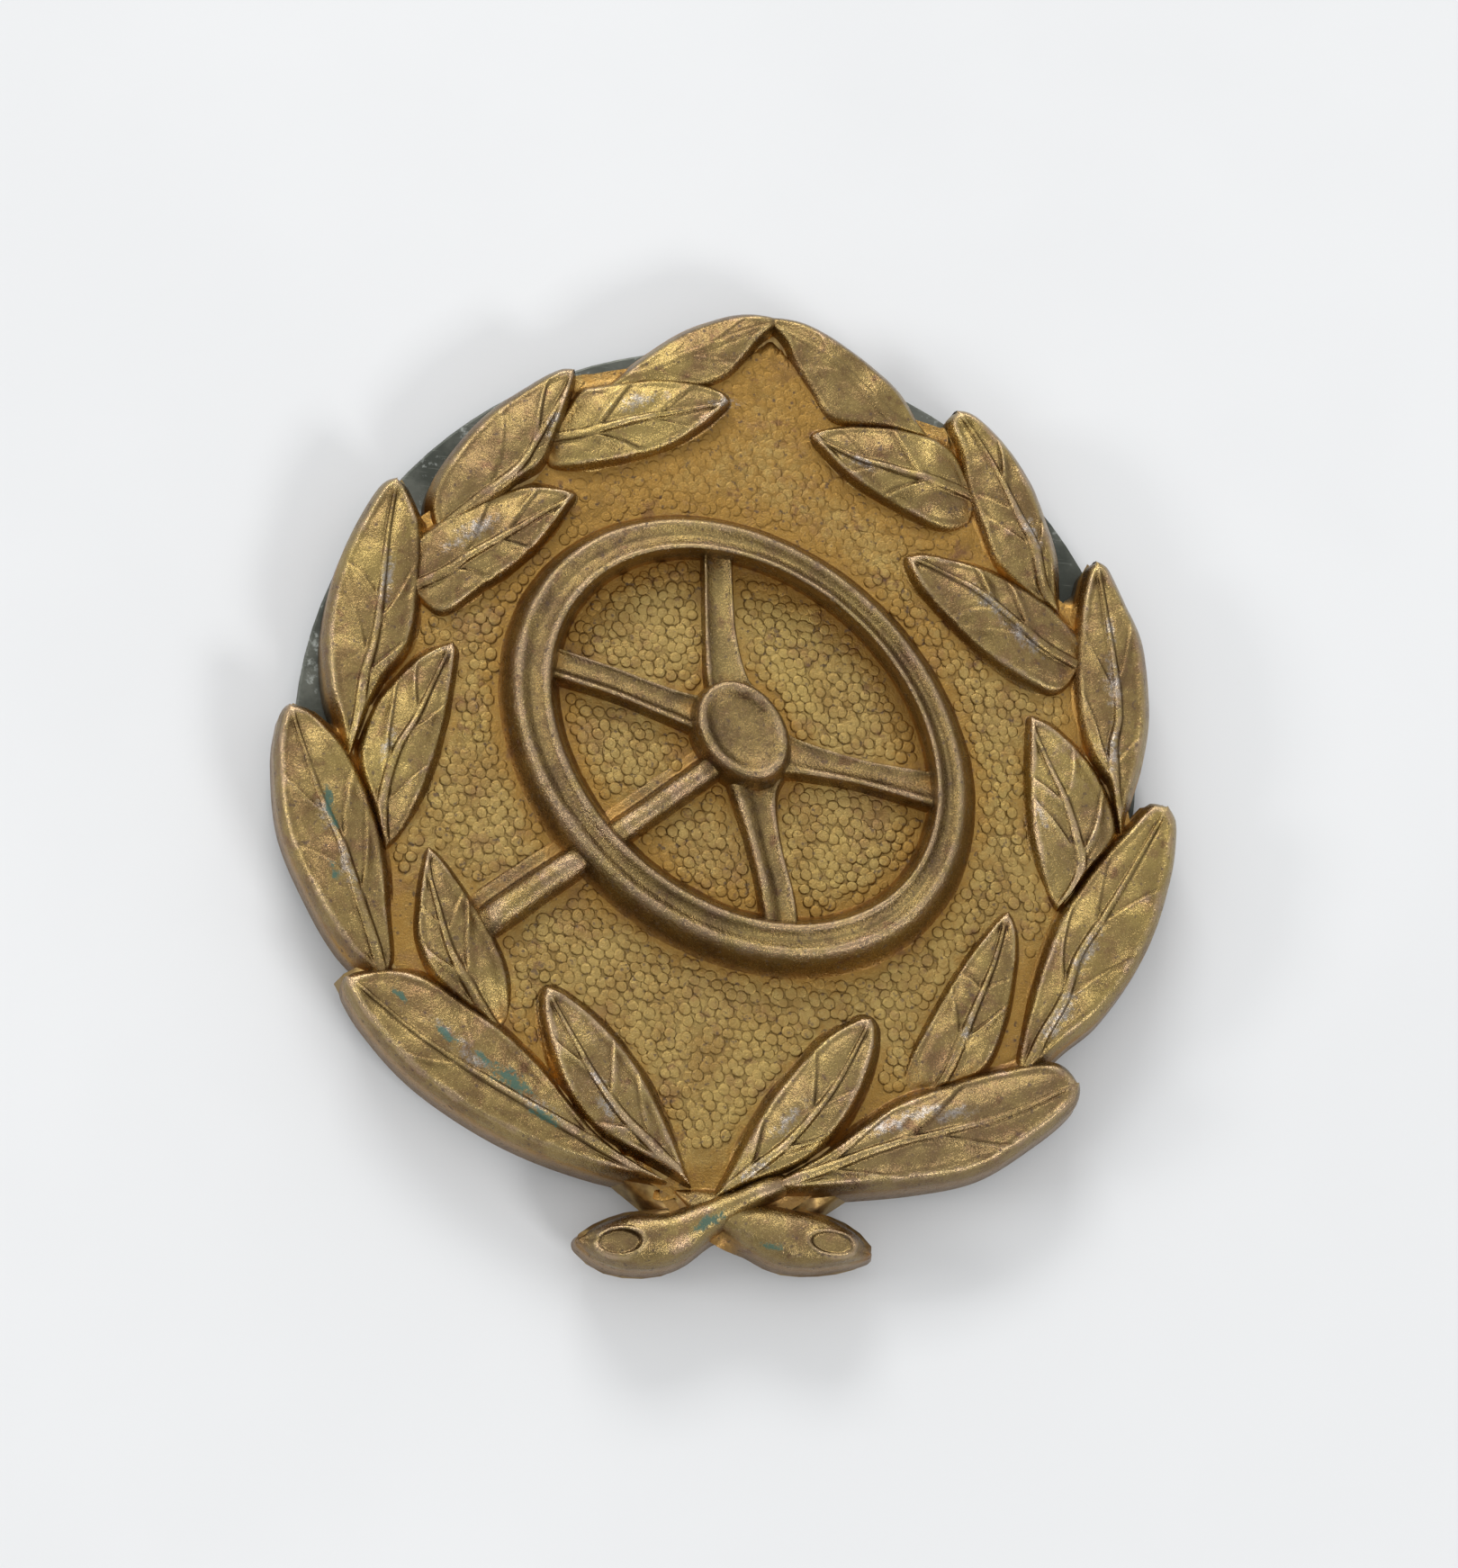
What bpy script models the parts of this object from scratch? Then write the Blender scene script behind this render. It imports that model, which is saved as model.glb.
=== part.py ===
"""Driver's badge: struck brass shell with wreath and steering wheel, zinc plate, four prongs.

Lengths below are millimetres in the badge's own frame: +X right, +Y towards the top of the
wreath, +Z out of the front, z = 0 under the folded prongs.
"""
import math

import bmesh
import bpy
from mathutils import Matrix, Vector, geometry
from mathutils.bvhtree import BVHTree

MM = 0.001
GAP = 0.1                      # clearance between pieces that touch in the real badge

PRONG_THICK = 0.45
PRONG_WIDTH = 2.6
PRONG_LEG = 7.6                # from the bend line to the tip
PRONG_FOOT = 3.0               # soldered foot inside the shell
PLATE_Z = PRONG_THICK + GAP    # rear face of the back plate
PLATE_THICK = 0.7
PLATE_RADIUS = 19.7
PLATE_CENTRE = (-0.65, 1.8)
SLOT_SIZE = (0.85, 3.2)
SEAT_Z = PLATE_Z + PLATE_THICK + GAP
FIELD_Z = 3.0                  # pebbled ground, at the edge of the field
FIELD_DOME = 0.2
LEAF_EDGE_Z = 3.3
LEAF_CROWN = 0.85              # midrib above the leaf's edge
LEAF_TUCK = 0.7                # how far a leaf's base dips under its neighbour
SHEET = 0.4
RIM_WALL = 0.6
ROOF_REACH = 0.9
LEAF_STEPS = 14
PRONG_PLACES = {"upper_left": (-4.8, 5.6), "upper_right": (4.8, 5.6),
                "lower_left": (-4.8, -3.4), "lower_right": (4.8, -3.4)}

# Each leaf: base, midrib, tip, then the side towards the rim and the side towards the
# wheel, both from base to tip, and how far it lies above (+) or below (-) the others.
LEAVES = {
    "left_outer_1": ((-1.0, -19.0), [(-4.0, -17.9), (-8.0, -16.15), (-12.5, -13.9),
                     (-15.2, -12.1)], (-17.1, -10.9),
                     [(-4.9, -18.6), (-9.0, -17.45), (-13.0, -15.35), (-15.7, -12.9)],
                     [(-4.7, -17.0), (-8.0, -13.7), (-11.0, -11.75), (-14.0, -10.4)], 0.15),
    "left_outer_2": ((-15.0, -11.2), [(-15.6, -9.6), (-16.65, -7.3), (-17.55, -5.2),
                     (-18.95, -2.6)], (-20.75, 1.55),
                     [(-17.0, -9.7), (-18.7, -7.4), (-20.3, -4.4), (-20.95, -1.2),
                      (-20.93, 0.6)],
                     [(-14.55, -10.0), (-15.1, -7.4), (-15.65, -4.7), (-16.6, -2.3),
                      (-17.9, -0.3), (-19.4, 1.1)], 0.1),
    "left_outer_3": ((-17.7, -1.2), [(-17.45, 1.0), (-17.4, 2.8), (-17.1, 4.8), (-17.0, 7.2),
                     (-17.0, 9.8)], (-16.8, 12.95),
                     [(-18.4, 0.9), (-19.0, 2.5), (-19.35, 5.0), (-19.1, 7.7), (-18.5, 9.9),
                      (-17.6, 12.0)],
                     [(-17.1, 0.9), (-16.4, 2.9), (-15.4, 4.6), (-15.15, 7.0), (-15.35, 10.2),
                      (-16.1, 12.0)], 0.05),
    "left_outer_4": ((-14.9, 10.2), [(-12.7, 12.3), (-11.3, 13.7), (-10.5, 15.3),
                     (-9.7, 17.2)], (-9.0, 19.1),
                     [(-15.25, 12.0), (-14.6, 13.8), (-13.0, 16.2), (-11.0, 18.0),
                      (-9.9, 18.8)],
                     [(-12.6, 11.6), (-11.0, 13.1), (-10.05, 14.1), (-9.5, 15.8),
                      (-9.1, 17.9)], 0.0),
    "left_outer_5": ((-8.3, 17.8), [(-5.7, 19.2), (-3.9, 20.3), (-2.0, 21.3)], (0.0, 22.75),
                     [(-7.07, 19.0), (-5.9, 20.1), (-4.1, 21.6), (-2.2, 22.5), (-1.0, 22.75)],
                     [(-5.5, 18.4), (-3.3, 18.7), (-1.9, 19.4), (-1.05, 20.5), (-0.4, 21.5)],
                     -0.3),
    "left_inner_1": ((-0.1, -19.2), [(-2.1, -17.55), (-3.85, -16.1), (-5.2, -14.5),
                     (-6.4, -12.7)], (-7.9, -10.35),
                     [(-2.2, -18.2), (-4.6, -17.2), (-6.1, -15.8), (-7.15, -13.9),
                      (-7.9, -11.7)],
                     [(-1.07, -17.1), (-2.1, -15.3), (-3.3, -13.45), (-5.05, -11.75),
                      (-6.8, -10.65)], 0.2),
    "left_inner_2": ((-9.6, -12.9), [(-11.05, -11.1), (-12.2, -9.4), (-13.0, -7.4),
                     (-13.5, -5.9)], (-13.75, -4.35),
                     [(-12.6, -11.0), (-13.85, -9.1), (-14.05, -7.1), (-13.95, -5.4)],
                     [(-9.0, -11.8), (-9.5, -9.65), (-10.5, -7.85), (-11.6, -6.45),
                      (-12.85, -5.05)], -0.1),
    "left_inner_3": ((-15.6, -5.2), [(-15.95, -2.8), (-15.55, -0.4), (-14.8, 1.3),
                     (-14.2, 3.1)], (-13.4, 5.4),
                     [(-16.5, -3.0), (-17.3, -0.9), (-17.2, 0.8), (-16.6, 2.4), (-15.2, 4.2)],
                     [(-14.7, -4.0), (-13.9, -1.7), (-13.35, 0.9), (-13.15, 3.2),
                      (-13.15, 4.7)], 0.0),
    "left_inner_4": ((-15.9, 7.4), [(-14.1, 8.4), (-12.95, 9.35), (-11.4, 10.5), (-9.8, 11.8)],
                     (-8.3, 12.95),
                     [(-15.9, 9.6), (-15.0, 10.7), (-13.4, 11.9), (-11.3, 12.95),
                      (-9.5, 13.2)],
                     [(-14.2, 6.3), (-12.4, 7.65), (-10.6, 9.25), (-9.4, 10.9)], 0.1),
    "left_inner_5": ((-10.2, 15.4), [(-8.0, 15.9), (-6.0, 16.7), (-4.0, 17.4)], (-1.5, 18.25),
                     [(-9.0, 17.9), (-7.9, 18.4), (-5.6, 19.0), (-3.3, 19.1), (-2.2, 18.85)],
                     [(-9.9, 14.0), (-7.3, 14.4), (-4.7, 15.4), (-2.9, 16.7)], 0.0),
    "right_outer_1": ((1.5, -19.3), [(4.8, -18.0), (8.3, -16.35), (11.0, -15.35),
                      (13.7, -14.3)], (17.2, -12.3),
                      [(6.3, -18.45), (9.9, -17.75), (12.8, -16.8), (15.2, -15.0),
                       (16.7, -13.5)],
                      [(2.9, -18.5), (5.7, -16.6), (8.2, -14.4), (11.1, -12.9),
                       (13.6, -11.95), (15.8, -11.5)], 0.15),
    "right_outer_2": ((14.4, -12.6), [(15.1, -10.5), (15.95, -8.6), (16.45, -6.6),
                      (17.5, -4.6), (18.6, -2.4)], (20.35, 1.3),
                      [(16.2, -10.6), (17.85, -8.9), (19.6, -5.8), (20.5, -2.4),
                       (20.65, 0.0)],
                      [(13.95, -11.6), (14.5, -8.1), (15.4, -4.8), (16.9, -2.1),
                       (18.3, -0.2), (19.4, 1.15)], 0.1),
    "right_outer_3": ((18.2, -1.0), [(17.65, 1.6), (17.4, 3.5), (17.55, 5.0), (17.25, 7.1),
                      (16.85, 9.0), (16.45, 11.0)], (16.0, 12.75),
                      [(18.45, 1.0), (18.85, 3.1), (19.0, 5.6), (18.5, 8.7), (17.6, 10.6),
                       (16.6, 12.3)],
                      [(17.4, 1.5), (16.4, 3.0), (15.7, 5.0), (15.35, 7.5), (15.35, 10.0),
                       (15.6, 11.9)], 0.05),
    "right_outer_4": ((14.7, 9.6), [(13.65, 11.0), (13.0, 12.8), (12.1, 14.3), (11.3, 15.7),
                      (10.3, 17.4)], (8.9, 19.25),
                      [(14.5, 10.8), (14.1, 12.8), (13.0, 15.4), (11.6, 17.5), (10.0, 18.9)],
                      [(12.9, 10.4), (11.3, 11.8), (10.4, 13.6), (9.6, 15.4), (9.2, 17.0),
                       (8.6, 18.4)], 0.0),
    "right_outer_5": ((8.2, 17.6), [(6.0, 18.3), (4.4, 19.6), (3.5, 20.4), (1.9, 21.4)],
                      (0.0, 22.75),
                      [(7.2, 18.6), (6.2, 19.8), (4.5, 21.15), (2.5, 22.25), (1.0, 22.75)],
                      [(5.5, 17.7), (3.1, 17.9), (2.0, 19.2), (1.1, 20.4), (0.5, 21.5)], -0.3),
    "right_inner_1": ((0.2, -19.9), [(2.1, -18.25), (3.65, -16.8), (4.95, -15.1),
                      (6.0, -13.3)], (7.3, -10.15),
                      [(2.3, -18.8), (5.0, -17.25), (6.7, -14.9), (7.5, -12.5), (7.6, -11.0)],
                      [(1.0, -18.4), (1.8, -16.6), (3.2, -13.9), (5.0, -11.5), (6.5, -10.4)],
                      0.2),
    "right_inner_2": ((10.4, -13.5), [(11.05, -12.1), (11.45, -10.8), (12.0, -9.1),
                      (12.65, -7.1)], (13.2, -4.4),
                      [(12.6, -12.4), (13.5, -10.3), (13.85, -8.0), (13.8, -5.8)],
                      [(8.75, -13.3), (9.75, -10.2), (11.1, -7.35), (12.4, -5.3)], -0.1),
    "right_inner_3": ((15.4, -4.6), [(16.3, -2.6), (15.95, -0.9), (15.4, 0.6), (14.7, 1.9),
                      (14.0, 3.3)], (13.35, 4.9),
                      [(16.6, -2.7), (17.7, -1.2), (18.0, -0.2), (17.5, 1.4), (16.2, 3.2),
                       (14.8, 4.3)],
                      [(14.8, -3.7), (14.0, -1.5), (13.55, 0.8), (13.35, 3.2)], 0.05),
    "right_inner_4": ((15.9, 7.3), [(13.9, 8.0), (12.9, 8.6), (11.8, 9.4), (10.6, 10.2),
                      (9.3, 10.85)], (6.85, 11.75),
                      [(15.9, 8.6), (14.6, 9.75), (12.5, 11.0), (10.2, 11.8), (8.2, 12.0)],
                      [(14.9, 5.9), (13.3, 6.1), (11.0, 7.3), (9.1, 8.85), (7.6, 10.35)], 0.1),
    "right_inner_5": ((10.3, 15.0), [(8.0, 15.4), (6.0, 15.75), (4.4, 16.1)], (2.0, 17.15),
                      [(9.4, 16.8), (8.5, 17.55), (6.5, 18.0), (4.5, 17.95), (3.0, 17.65)],
                      [(10.1, 13.6), (8.6, 13.15), (6.3, 13.95), (4.1, 15.1), (2.6, 16.4)],
                      0.0),
}

# The two cut stems: cut end, centre line, far end, upper side, lower side, crown height.
STEMS = {
    "stem_over": ((-5.25, -21.85), [(-3.2, -21.75), (-1.2, -21.2), (0.6, -20.2),
                  (2.6, -19.1)], (5.2, -17.9),
                  [(-4.4, -21.15), (-2.9, -20.5), (-1.4, -20.3), (-0.1, -19.7),
                   (1.7, -18.8), (3.4, -18.0)],
                  [(-4.3, -22.6), (-3.0, -22.9), (-1.5, -22.75), (-0.3, -22.2),
                   (0.9, -21.1), (2.4, -19.9), (4.0, -18.9)], 4.3),
    "stem_under": ((8.25, -21.0), [(6.0, -21.05), (3.5, -20.8), (1.5, -20.3),
                   (-0.5, -19.7)], (-2.5, -18.8),
                   [(7.4, -20.25), (6.0, -19.75), (4.0, -19.5), (2.0, -19.3), (0.0, -19.0)],
                   [(7.2, -21.6), (5.5, -22.0), (3.9, -22.0), (2.4, -21.4), (1.2, -20.8),
                    (-1.0, -20.2)], 4.0),
}

# Ground behind the leaves, through the notches between their tips.
GROUND = [(-2.3, -19.85), (-16.2, -10.5), (-18.5, 0.7), (-15.2, 11.3), (-8.3, 18.1),
          (0.0, 20.0), (8.2, 18.0), (14.5, 11.2), (18.4, 0.9), (15.8, -11.2), (5.75, -19.35),
          (1.4, -20.8)]

# Wheel rim, from its outer foot to its inner foot: centre, half axes, height. The rim is
# struck as an oval whose long axis falls to the right.
RIM_TILT = math.radians(-39.0)
RIM_LOOPS = [((0.04, 1.82), (12.2, 9.65), 2.9), ((0.0, 1.9), (11.4, 8.8), 4.75),
             ((0.08, 1.9), (10.75, 8.3), 4.68), ((0.15, 1.9), (10.15, 7.8), 4.85),
             ((0.3, 2.3), (9.65, 7.3), 2.9)]
HUB_TILT = math.radians(-50.0)
HUB_LOOPS = [((0.1, 2.1), (2.75, 2.1), 2.9), ((0.1, 2.15), (2.45, 1.8), 5.0),
             ((0.05, 2.15), (1.9, 1.35), 5.0), ((0.0, 2.2), (0.5, 0.4), 4.85)]
# Spokes and column: inner end, half width there, outer end, half width there, top height.
BARS = [((-0.5, 4.0), 1.0, (-1.65, 10.6), 0.65, 4.0), ((2.2, 1.4), 0.85, (9.3, 0.6), 0.7, 4.0),
        ((-2.2, 2.9), 0.8, (-8.8, 4.6), 0.55, 4.0), ((1.0, -0.5), 0.9, (2.8, -6.8), 0.65, 4.0),
        ((-1.0, 0.7), 0.85, (-10.7, -7.6), 0.95, 4.0)]


def smooth_line(points, count):
    """A Catmull-Rom curve through the points, read at equal steps of its length."""
    pts = [Vector(p) for p in points]
    pts = [2 * pts[0] - pts[1]] + pts + [2 * pts[-1] - pts[-2]]
    fine = [pts[1]]
    for p0, p1, p2, p3 in zip(pts, pts[1:], pts[2:], pts[3:]):
        for k in range(1, 13):
            u = k / 12
            fine.append(0.5 * (2 * p1 + (p2 - p0) * u + (2 * p0 - 5 * p1 + 4 * p2 - p3) * u * u
                               + (3 * p1 - p0 - 3 * p2 + p3) * u ** 3))
    lengths = [0.0]
    for a, b in zip(fine, fine[1:]):
        lengths.append(lengths[-1] + (b - a).length)
    line, k = [], 0
    for i in range(count + 1):
        want = lengths[-1] * i / count
        while k < len(fine) - 2 and lengths[k + 1] < want:
            k += 1
        u = (want - lengths[k]) / max(lengths[k + 1] - lengths[k], 1e-9)
        line.append(fine[k].lerp(fine[k + 1], u))
    return line


def ease(a, b, x):
    u = min(max((x - a) / (b - a), 0.0), 1.0)
    return u * u * (3 - 2 * u)


def blade(piece, count):
    """Midrib and both sides of a leaf or stem, as three lines from base to tip."""
    base, rib, tip, side_a, side_b = piece[:5]
    return [smooth_line([base] + inner + [tip], count) for inner in (side_a, rib, side_b)]


def strip_mesh(rows):
    """Vertices and faces of a grid given as rows of points."""
    width = len(rows[0])
    verts = [p for row in rows for p in row]
    faces = []
    for i in range(len(rows) - 1):
        for j in range(width - 1):
            a = i * width + j
            faces.append((a, a + 1, a + width + 1, a + width))
    return verts, faces


def leaf_surface(piece):
    side_a, rib, side_b = blade(piece, LEAF_STEPS)
    lift = piece[5]
    rows = []
    for i, (a, m, b) in enumerate(zip(side_a, rib, side_b)):
        s = i / LEAF_STEPS
        tuck = LEAF_TUCK * (1 - ease(0.0, 0.35, s))
        crown = LEAF_CROWN * (1 - 0.7 * s ** 4)
        row = []
        for j in range(-5, 6):
            t = j / 5
            p = m.lerp(a, -t) if t < 0 else m.lerp(b, t)
            z = LEAF_EDGE_Z + lift - tuck + crown * (1 - abs(t) ** 2.2)
            row.append((p.x, p.y, z))
        rows.append(row)
    return strip_mesh(rows)


def stem_surface(piece):
    side_a, rib, side_b = blade(piece, LEAF_STEPS)
    rows = []
    for i, (a, m, b) in enumerate(zip(side_a, rib, side_b)):
        s = i / LEAF_STEPS
        top = piece[5] - 0.5 * (1 - ease(0.0, 0.2, s)) - 0.9 * ease(0.75, 1.0, s)
        row = []
        for j in range(-4, 5):
            t = j / 4
            p = m.lerp(a, -t) if t < 0 else m.lerp(b, t)
            row.append((p.x, p.y, 2.7 + (top - 2.7) * math.sqrt(1 - 0.98 * t * t)))
        rows.append(row)
    return strip_mesh(rows)


def oval_loop(centre, axes, tilt, count):
    turn = Matrix.Rotation(tilt, 2)
    loop = []
    for k in range(count):
        angle = 2 * math.pi * k / count
        spot = turn @ Vector((axes[0] * math.cos(angle), axes[1] * math.sin(angle)))
        loop.append(Vector(centre) + spot)
    return loop


def oval_surface(loops, tilt, count, capped):
    rows = []
    for centre, axes, z in loops:
        row = [(p.x, p.y, z) for p in oval_loop(centre, axes, tilt, count)]
        rows.append(row + row[:1])
    verts, faces = strip_mesh(rows)
    if capped:
        last = len(verts) - count - 1
        faces.append(tuple(range(last, last + count)))
    return verts, faces


def bar_surface(bar):
    start, half_a, end, half_b, top = bar
    a, b = Vector(start), Vector(end)
    along = (b - a).normalized()
    across = Vector((-along.y, along.x))
    rows = []
    for j in range(-5, 6):
        t = j / 5
        z = 2.9 + (top - 2.9) * (1 - t ** 8)
        rows.append([(p.x, p.y, z) for p in (a + across * half_a * t, b + across * half_b * t)])
    return strip_mesh(rows)


def field_height(x, y):
    return FIELD_Z + FIELD_DOME * max(0.0, 1 - (x * x + (y - 1.0) ** 2) / 17.0 ** 2)


def die_surface():
    """Everything that stands above the field, for rays from above to meet."""
    verts, faces = [], []
    parts = [leaf_surface(piece) for piece in LEAVES.values()]
    parts += [stem_surface(piece) for piece in STEMS.values()]
    parts += [bar_surface(bar) for bar in BARS]
    parts.append(oval_surface(RIM_LOOPS, RIM_TILT, 72, False))
    parts.append(oval_surface(HUB_LOOPS, HUB_TILT, 24, True))
    for part_verts, part_faces in parts:
        faces += [tuple(i + len(verts) for i in face) for face in part_faces]
        verts += part_verts
    return BVHTree.FromPolygons(verts, faces)


def die_height(tree, x, y):
    spot, _, _, _ = tree.ray_cast(Vector((x, y, 20.0)), Vector((0, 0, -1)))
    ground = field_height(x, y)
    return max(spot.z, ground) if spot else ground


def outline_loop():
    """The edge of the union of leaves, stems and ground, as one closed line."""
    verts, faces = [], []
    for piece in list(LEAVES.values()) + list(STEMS.values()):
        side_a, _, side_b = blade(piece, LEAF_STEPS)
        ring = side_a + side_b[-2:0:-1]
        faces.append(list(range(len(verts), len(verts) + len(ring))))
        verts += ring
    faces.append(list(range(len(verts), len(verts) + len(GROUND))))
    verts += [Vector(p) for p in GROUND]
    out, _, tris, _, _, _ = geometry.delaunay_2d_cdt(verts, [], faces, 1, 1e-4)
    loops = edge_loops(open_edges(tris))
    return [out[i] for i in max(loops, key=len)]


def turn_angle(before, here, after):
    return (here - before).angle(after - here, 0.0)


def tidy_loop(loop, spacing):
    """Keep the corners of the outline and thin out what lies between them."""
    kept = []
    for i, p in enumerate(loop):
        corner = turn_angle(loop[i - 1], p, loop[(i + 1) % len(loop)]) > 0.6
        if not kept or (p - kept[-1][0]).length >= spacing:
            kept.append((p, corner))
        elif corner and not kept[-1][1]:
            kept[-1] = (p, True)
    return [p for p, _ in kept]


def segment_distance(p, a, b):
    ab = b - a
    u = min(max((p - a).dot(ab) / max(ab.length_squared, 1e-12), 0.0), 1.0)
    return (p - a - ab * u).length


def rim_distance(p, loop):
    return min(segment_distance(p, a, b) for a, b in zip(loop, loop[1:] + loop[:1]))


def crease_lines():
    """Lines that the shell's triangles must follow: rim, hub, spokes and column."""
    lines = []
    for centre, axes, _ in RIM_LOOPS:
        line = oval_loop(centre, axes, RIM_TILT, 60)
        lines.append(line + line[:1])
    for centre, axes, _ in HUB_LOOPS[:2]:
        line = oval_loop(centre, axes, HUB_TILT, 20)
        lines.append(line + line[:1])
    for start, half_a, end, half_b, _ in BARS:
        a, b = Vector(start), Vector(end)
        along = (b - a).normalized()
        across = Vector((-along.y, along.x))
        steps = 1 + int((b - a).length)
        for t in (-1.05, -0.8, 0.8, 1.05):
            side = [a + across * half_a * t, b + across * half_b * t]
            lines.append([side[0].lerp(side[1], k / steps) for k in range(steps + 1)])
    return lines


def feature_points(loop):
    """Points of the shell's top along its creases, then an even spread between them."""
    points = []
    for before, here, after in zip(loop[-1:] + loop[:-1], loop, loop[1:] + loop[:1]):
        along = (after - before).normalized()
        points.append(here + Vector((-along.y, along.x)) * RIM_WALL)
    for piece in list(LEAVES.values()) + list(STEMS.values()):
        side_a, rib, side_b = blade(piece, LEAF_STEPS)
        points += rib[1:]
        for side in (side_a, side_b):
            points += [m.lerp(e, 0.9) for m, e in zip(rib[1:-1], side[1:-1])]
            points += [m.lerp(e, 1.13) for m, e in zip(rib[1:-1], side[1:-1])]
    return points


def even_points(pitch):
    """A triangular grid over the whole badge."""
    count = int(46 / pitch)
    return [Vector((pitch * (i + 0.5 * (j % 2)), 0.866 * pitch * j))
            for i in range(-count, count) for j in range(-count, count)]


def inside_loop(p, loop):
    inside = False
    for a, b in zip(loop, loop[1:] + loop[:1]):
        if (a.y > p.y) != (b.y > p.y) and p.x < a.x + (p.y - a.y) * (b.x - a.x) / (b.y - a.y):
            inside = not inside
    return inside


def spread_points(groups, loop, margin, taken=()):
    """Points inside the loop; each group's points keep its distance from those before."""
    kept = list(taken)
    for points, spacing in groups:
        for p in points:
            if (abs(p.x) < 24 and abs(p.y) < 26 and inside_loop(p, loop)
                    and rim_distance(p, loop) > margin
                    and all((q - p).length_squared > spacing ** 2 for q in kept)):
                kept.append(p)
    return kept[len(taken):]


def cavity_faces(tris, depth):
    """Triangles over the hollow, without any that touch another only at a corner."""
    hollow = {i for i, tri in enumerate(tris) if min(depth[v] for v in tri) > 0.5 * RIM_WALL}
    while True:
        ends = {}
        for a, b in open_edges([tris[i] for i in hollow]):
            ends[a] = ends.get(a, 0) + 1
            ends[b] = ends.get(b, 0) + 1
        pinched = {v for v, n in ends.items() if n > 2}
        if not pinched:
            return hollow
        hollow = {i for i in hollow if not pinched & set(tris[i])}


def open_edges(tris):
    """Directed edges that belong to one triangle only."""
    edges = {(a, b) for tri in tris for a, b in zip(tri, tri[1:] + tri[:1])}
    return [(a, b) for a, b in edges if (b, a) not in edges]


def edge_loops(edges):
    step = dict(edges)
    loops = []
    while step:
        start, here = step.popitem()
        loop = [start]
        while here != start:
            loop.append(here)
            here = step.pop(here)
        loops.append(loop)
    return loops


def metal(name, colour, roughness, metallic):
    mat = bpy.data.materials.new(name)
    mat.use_nodes = True
    mat.diffuse_color = (*colour, 1.0)
    shader = mat.node_tree.nodes["Principled BSDF"]
    shader.inputs["Base Color"].default_value = (*colour, 1.0)
    shader.inputs["Roughness"].default_value = roughness
    shader.inputs["Metallic"].default_value = metallic
    return mat


def add_object(name, bm, material, parent=None):
    """A named object from a mesh in millimetres."""
    bmesh.ops.scale(bm, vec=(MM, MM, MM), verts=bm.verts)
    mesh = bpy.data.meshes.new(name)
    bm.to_mesh(mesh)
    bm.free()
    mesh.materials.append(material)
    obj = bpy.data.objects.new(name, mesh)
    obj.parent = parent
    bpy.context.scene.collection.objects.link(obj)
    return obj


def roof_height(tree, p):
    """Inside of the sheet: under the lowest point of the relief close by."""
    low = die_height(tree, p.x, p.y)
    for k in range(8):
        angle = math.pi * k / 4
        for reach in (0.45, ROOF_REACH):
            low = min(low, die_height(tree, p.x + reach * math.cos(angle),
                                      p.y + reach * math.sin(angle)))
    return low - SHEET


def make_shell(material):
    """The struck sheet: relief on top, a flat rim that seats on the plate, hollow behind."""
    tree = die_surface()
    loop = tidy_loop(outline_loop(), 0.55)
    groups = [(feature_points(loop), 0.36), (even_points(1.0), 0.75)]
    points = list(loop)
    edges = [(i, (i + 1) % len(loop)) for i in range(len(loop))]
    for line in crease_lines():
        edges += [(len(points) + i, len(points) + i + 1) for i in range(len(line) - 1)]
        points += line
    points += spread_points(groups, loop, 0.85 * RIM_WALL, points[len(loop):])
    flat, _, tris, _, _, _ = geometry.delaunay_2d_cdt(points, edges, [list(range(len(loop)))],
                                                      1, 1e-4)
    bm = bmesh.new()
    top = []
    for p in flat:
        inward = p - p.normalized() * 0.03
        z = max(die_height(tree, p.x, p.y), die_height(tree, inward.x, inward.y))
        top.append(bm.verts.new((p.x, p.y, z)))
    for tri in tris:
        bm.faces.new([top[v] for v in tri])

    hollow = cavity_faces(tris, [rim_distance(p, loop) for p in flat])
    rim = [tri for i, tri in enumerate(tris) if i not in hollow]
    seat = {v: bm.verts.new((flat[v].x, flat[v].y, SEAT_Z)) for v in sorted(set(sum(rim, [])))}
    for tri in rim:
        bm.faces.new([seat[v] for v in reversed(tri)])
    for a, b in open_edges(tris):
        bm.faces.new([top[b], top[a], seat[a], seat[b]])

    for mouth in edge_loops(open_edges([tris[i] for i in hollow])):
        edge = [flat[v] for v in mouth]
        inner = edge + spread_points([(even_points(1.3), 0.7)], edge, 0.5)
        ring = [(i, (i + 1) % len(edge)) for i in range(len(edge))]
        spots, _, faces, _, _, _ = geometry.delaunay_2d_cdt(
            inner, ring, [list(range(len(edge)))], 1, 1e-5)
        roof = [bm.verts.new((p.x, p.y, roof_height(tree, p))) for p in spots]
        for face in faces:
            bm.faces.new([roof[v] for v in reversed(face)])
        for k, v in enumerate(mouth):
            nxt = (k + 1) % len(mouth)
            bm.faces.new([roof[k], roof[nxt], seat[mouth[nxt]], seat[v]])
    bmesh.ops.triangulate(bm, faces=bm.faces)
    bmesh.ops.recalc_face_normals(bm, faces=bm.faces)
    obj = add_object("front_shell", bm, material)
    obj.data.shade_smooth()
    obj.data.set_sharp_from_angle(angle=math.radians(50))
    return obj


def make_cutter(name, size, place):
    bm = bmesh.new()
    bmesh.ops.create_cube(bm, size=1.0)
    bmesh.ops.scale(bm, vec=size, verts=bm.verts)
    bmesh.ops.translate(bm, vec=place, verts=bm.verts)
    cutter = add_object(name, bm, bpy.data.materials["zinc"])
    cutter.hide_render = True
    cutter.display_type = "WIRE"
    return cutter


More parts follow.
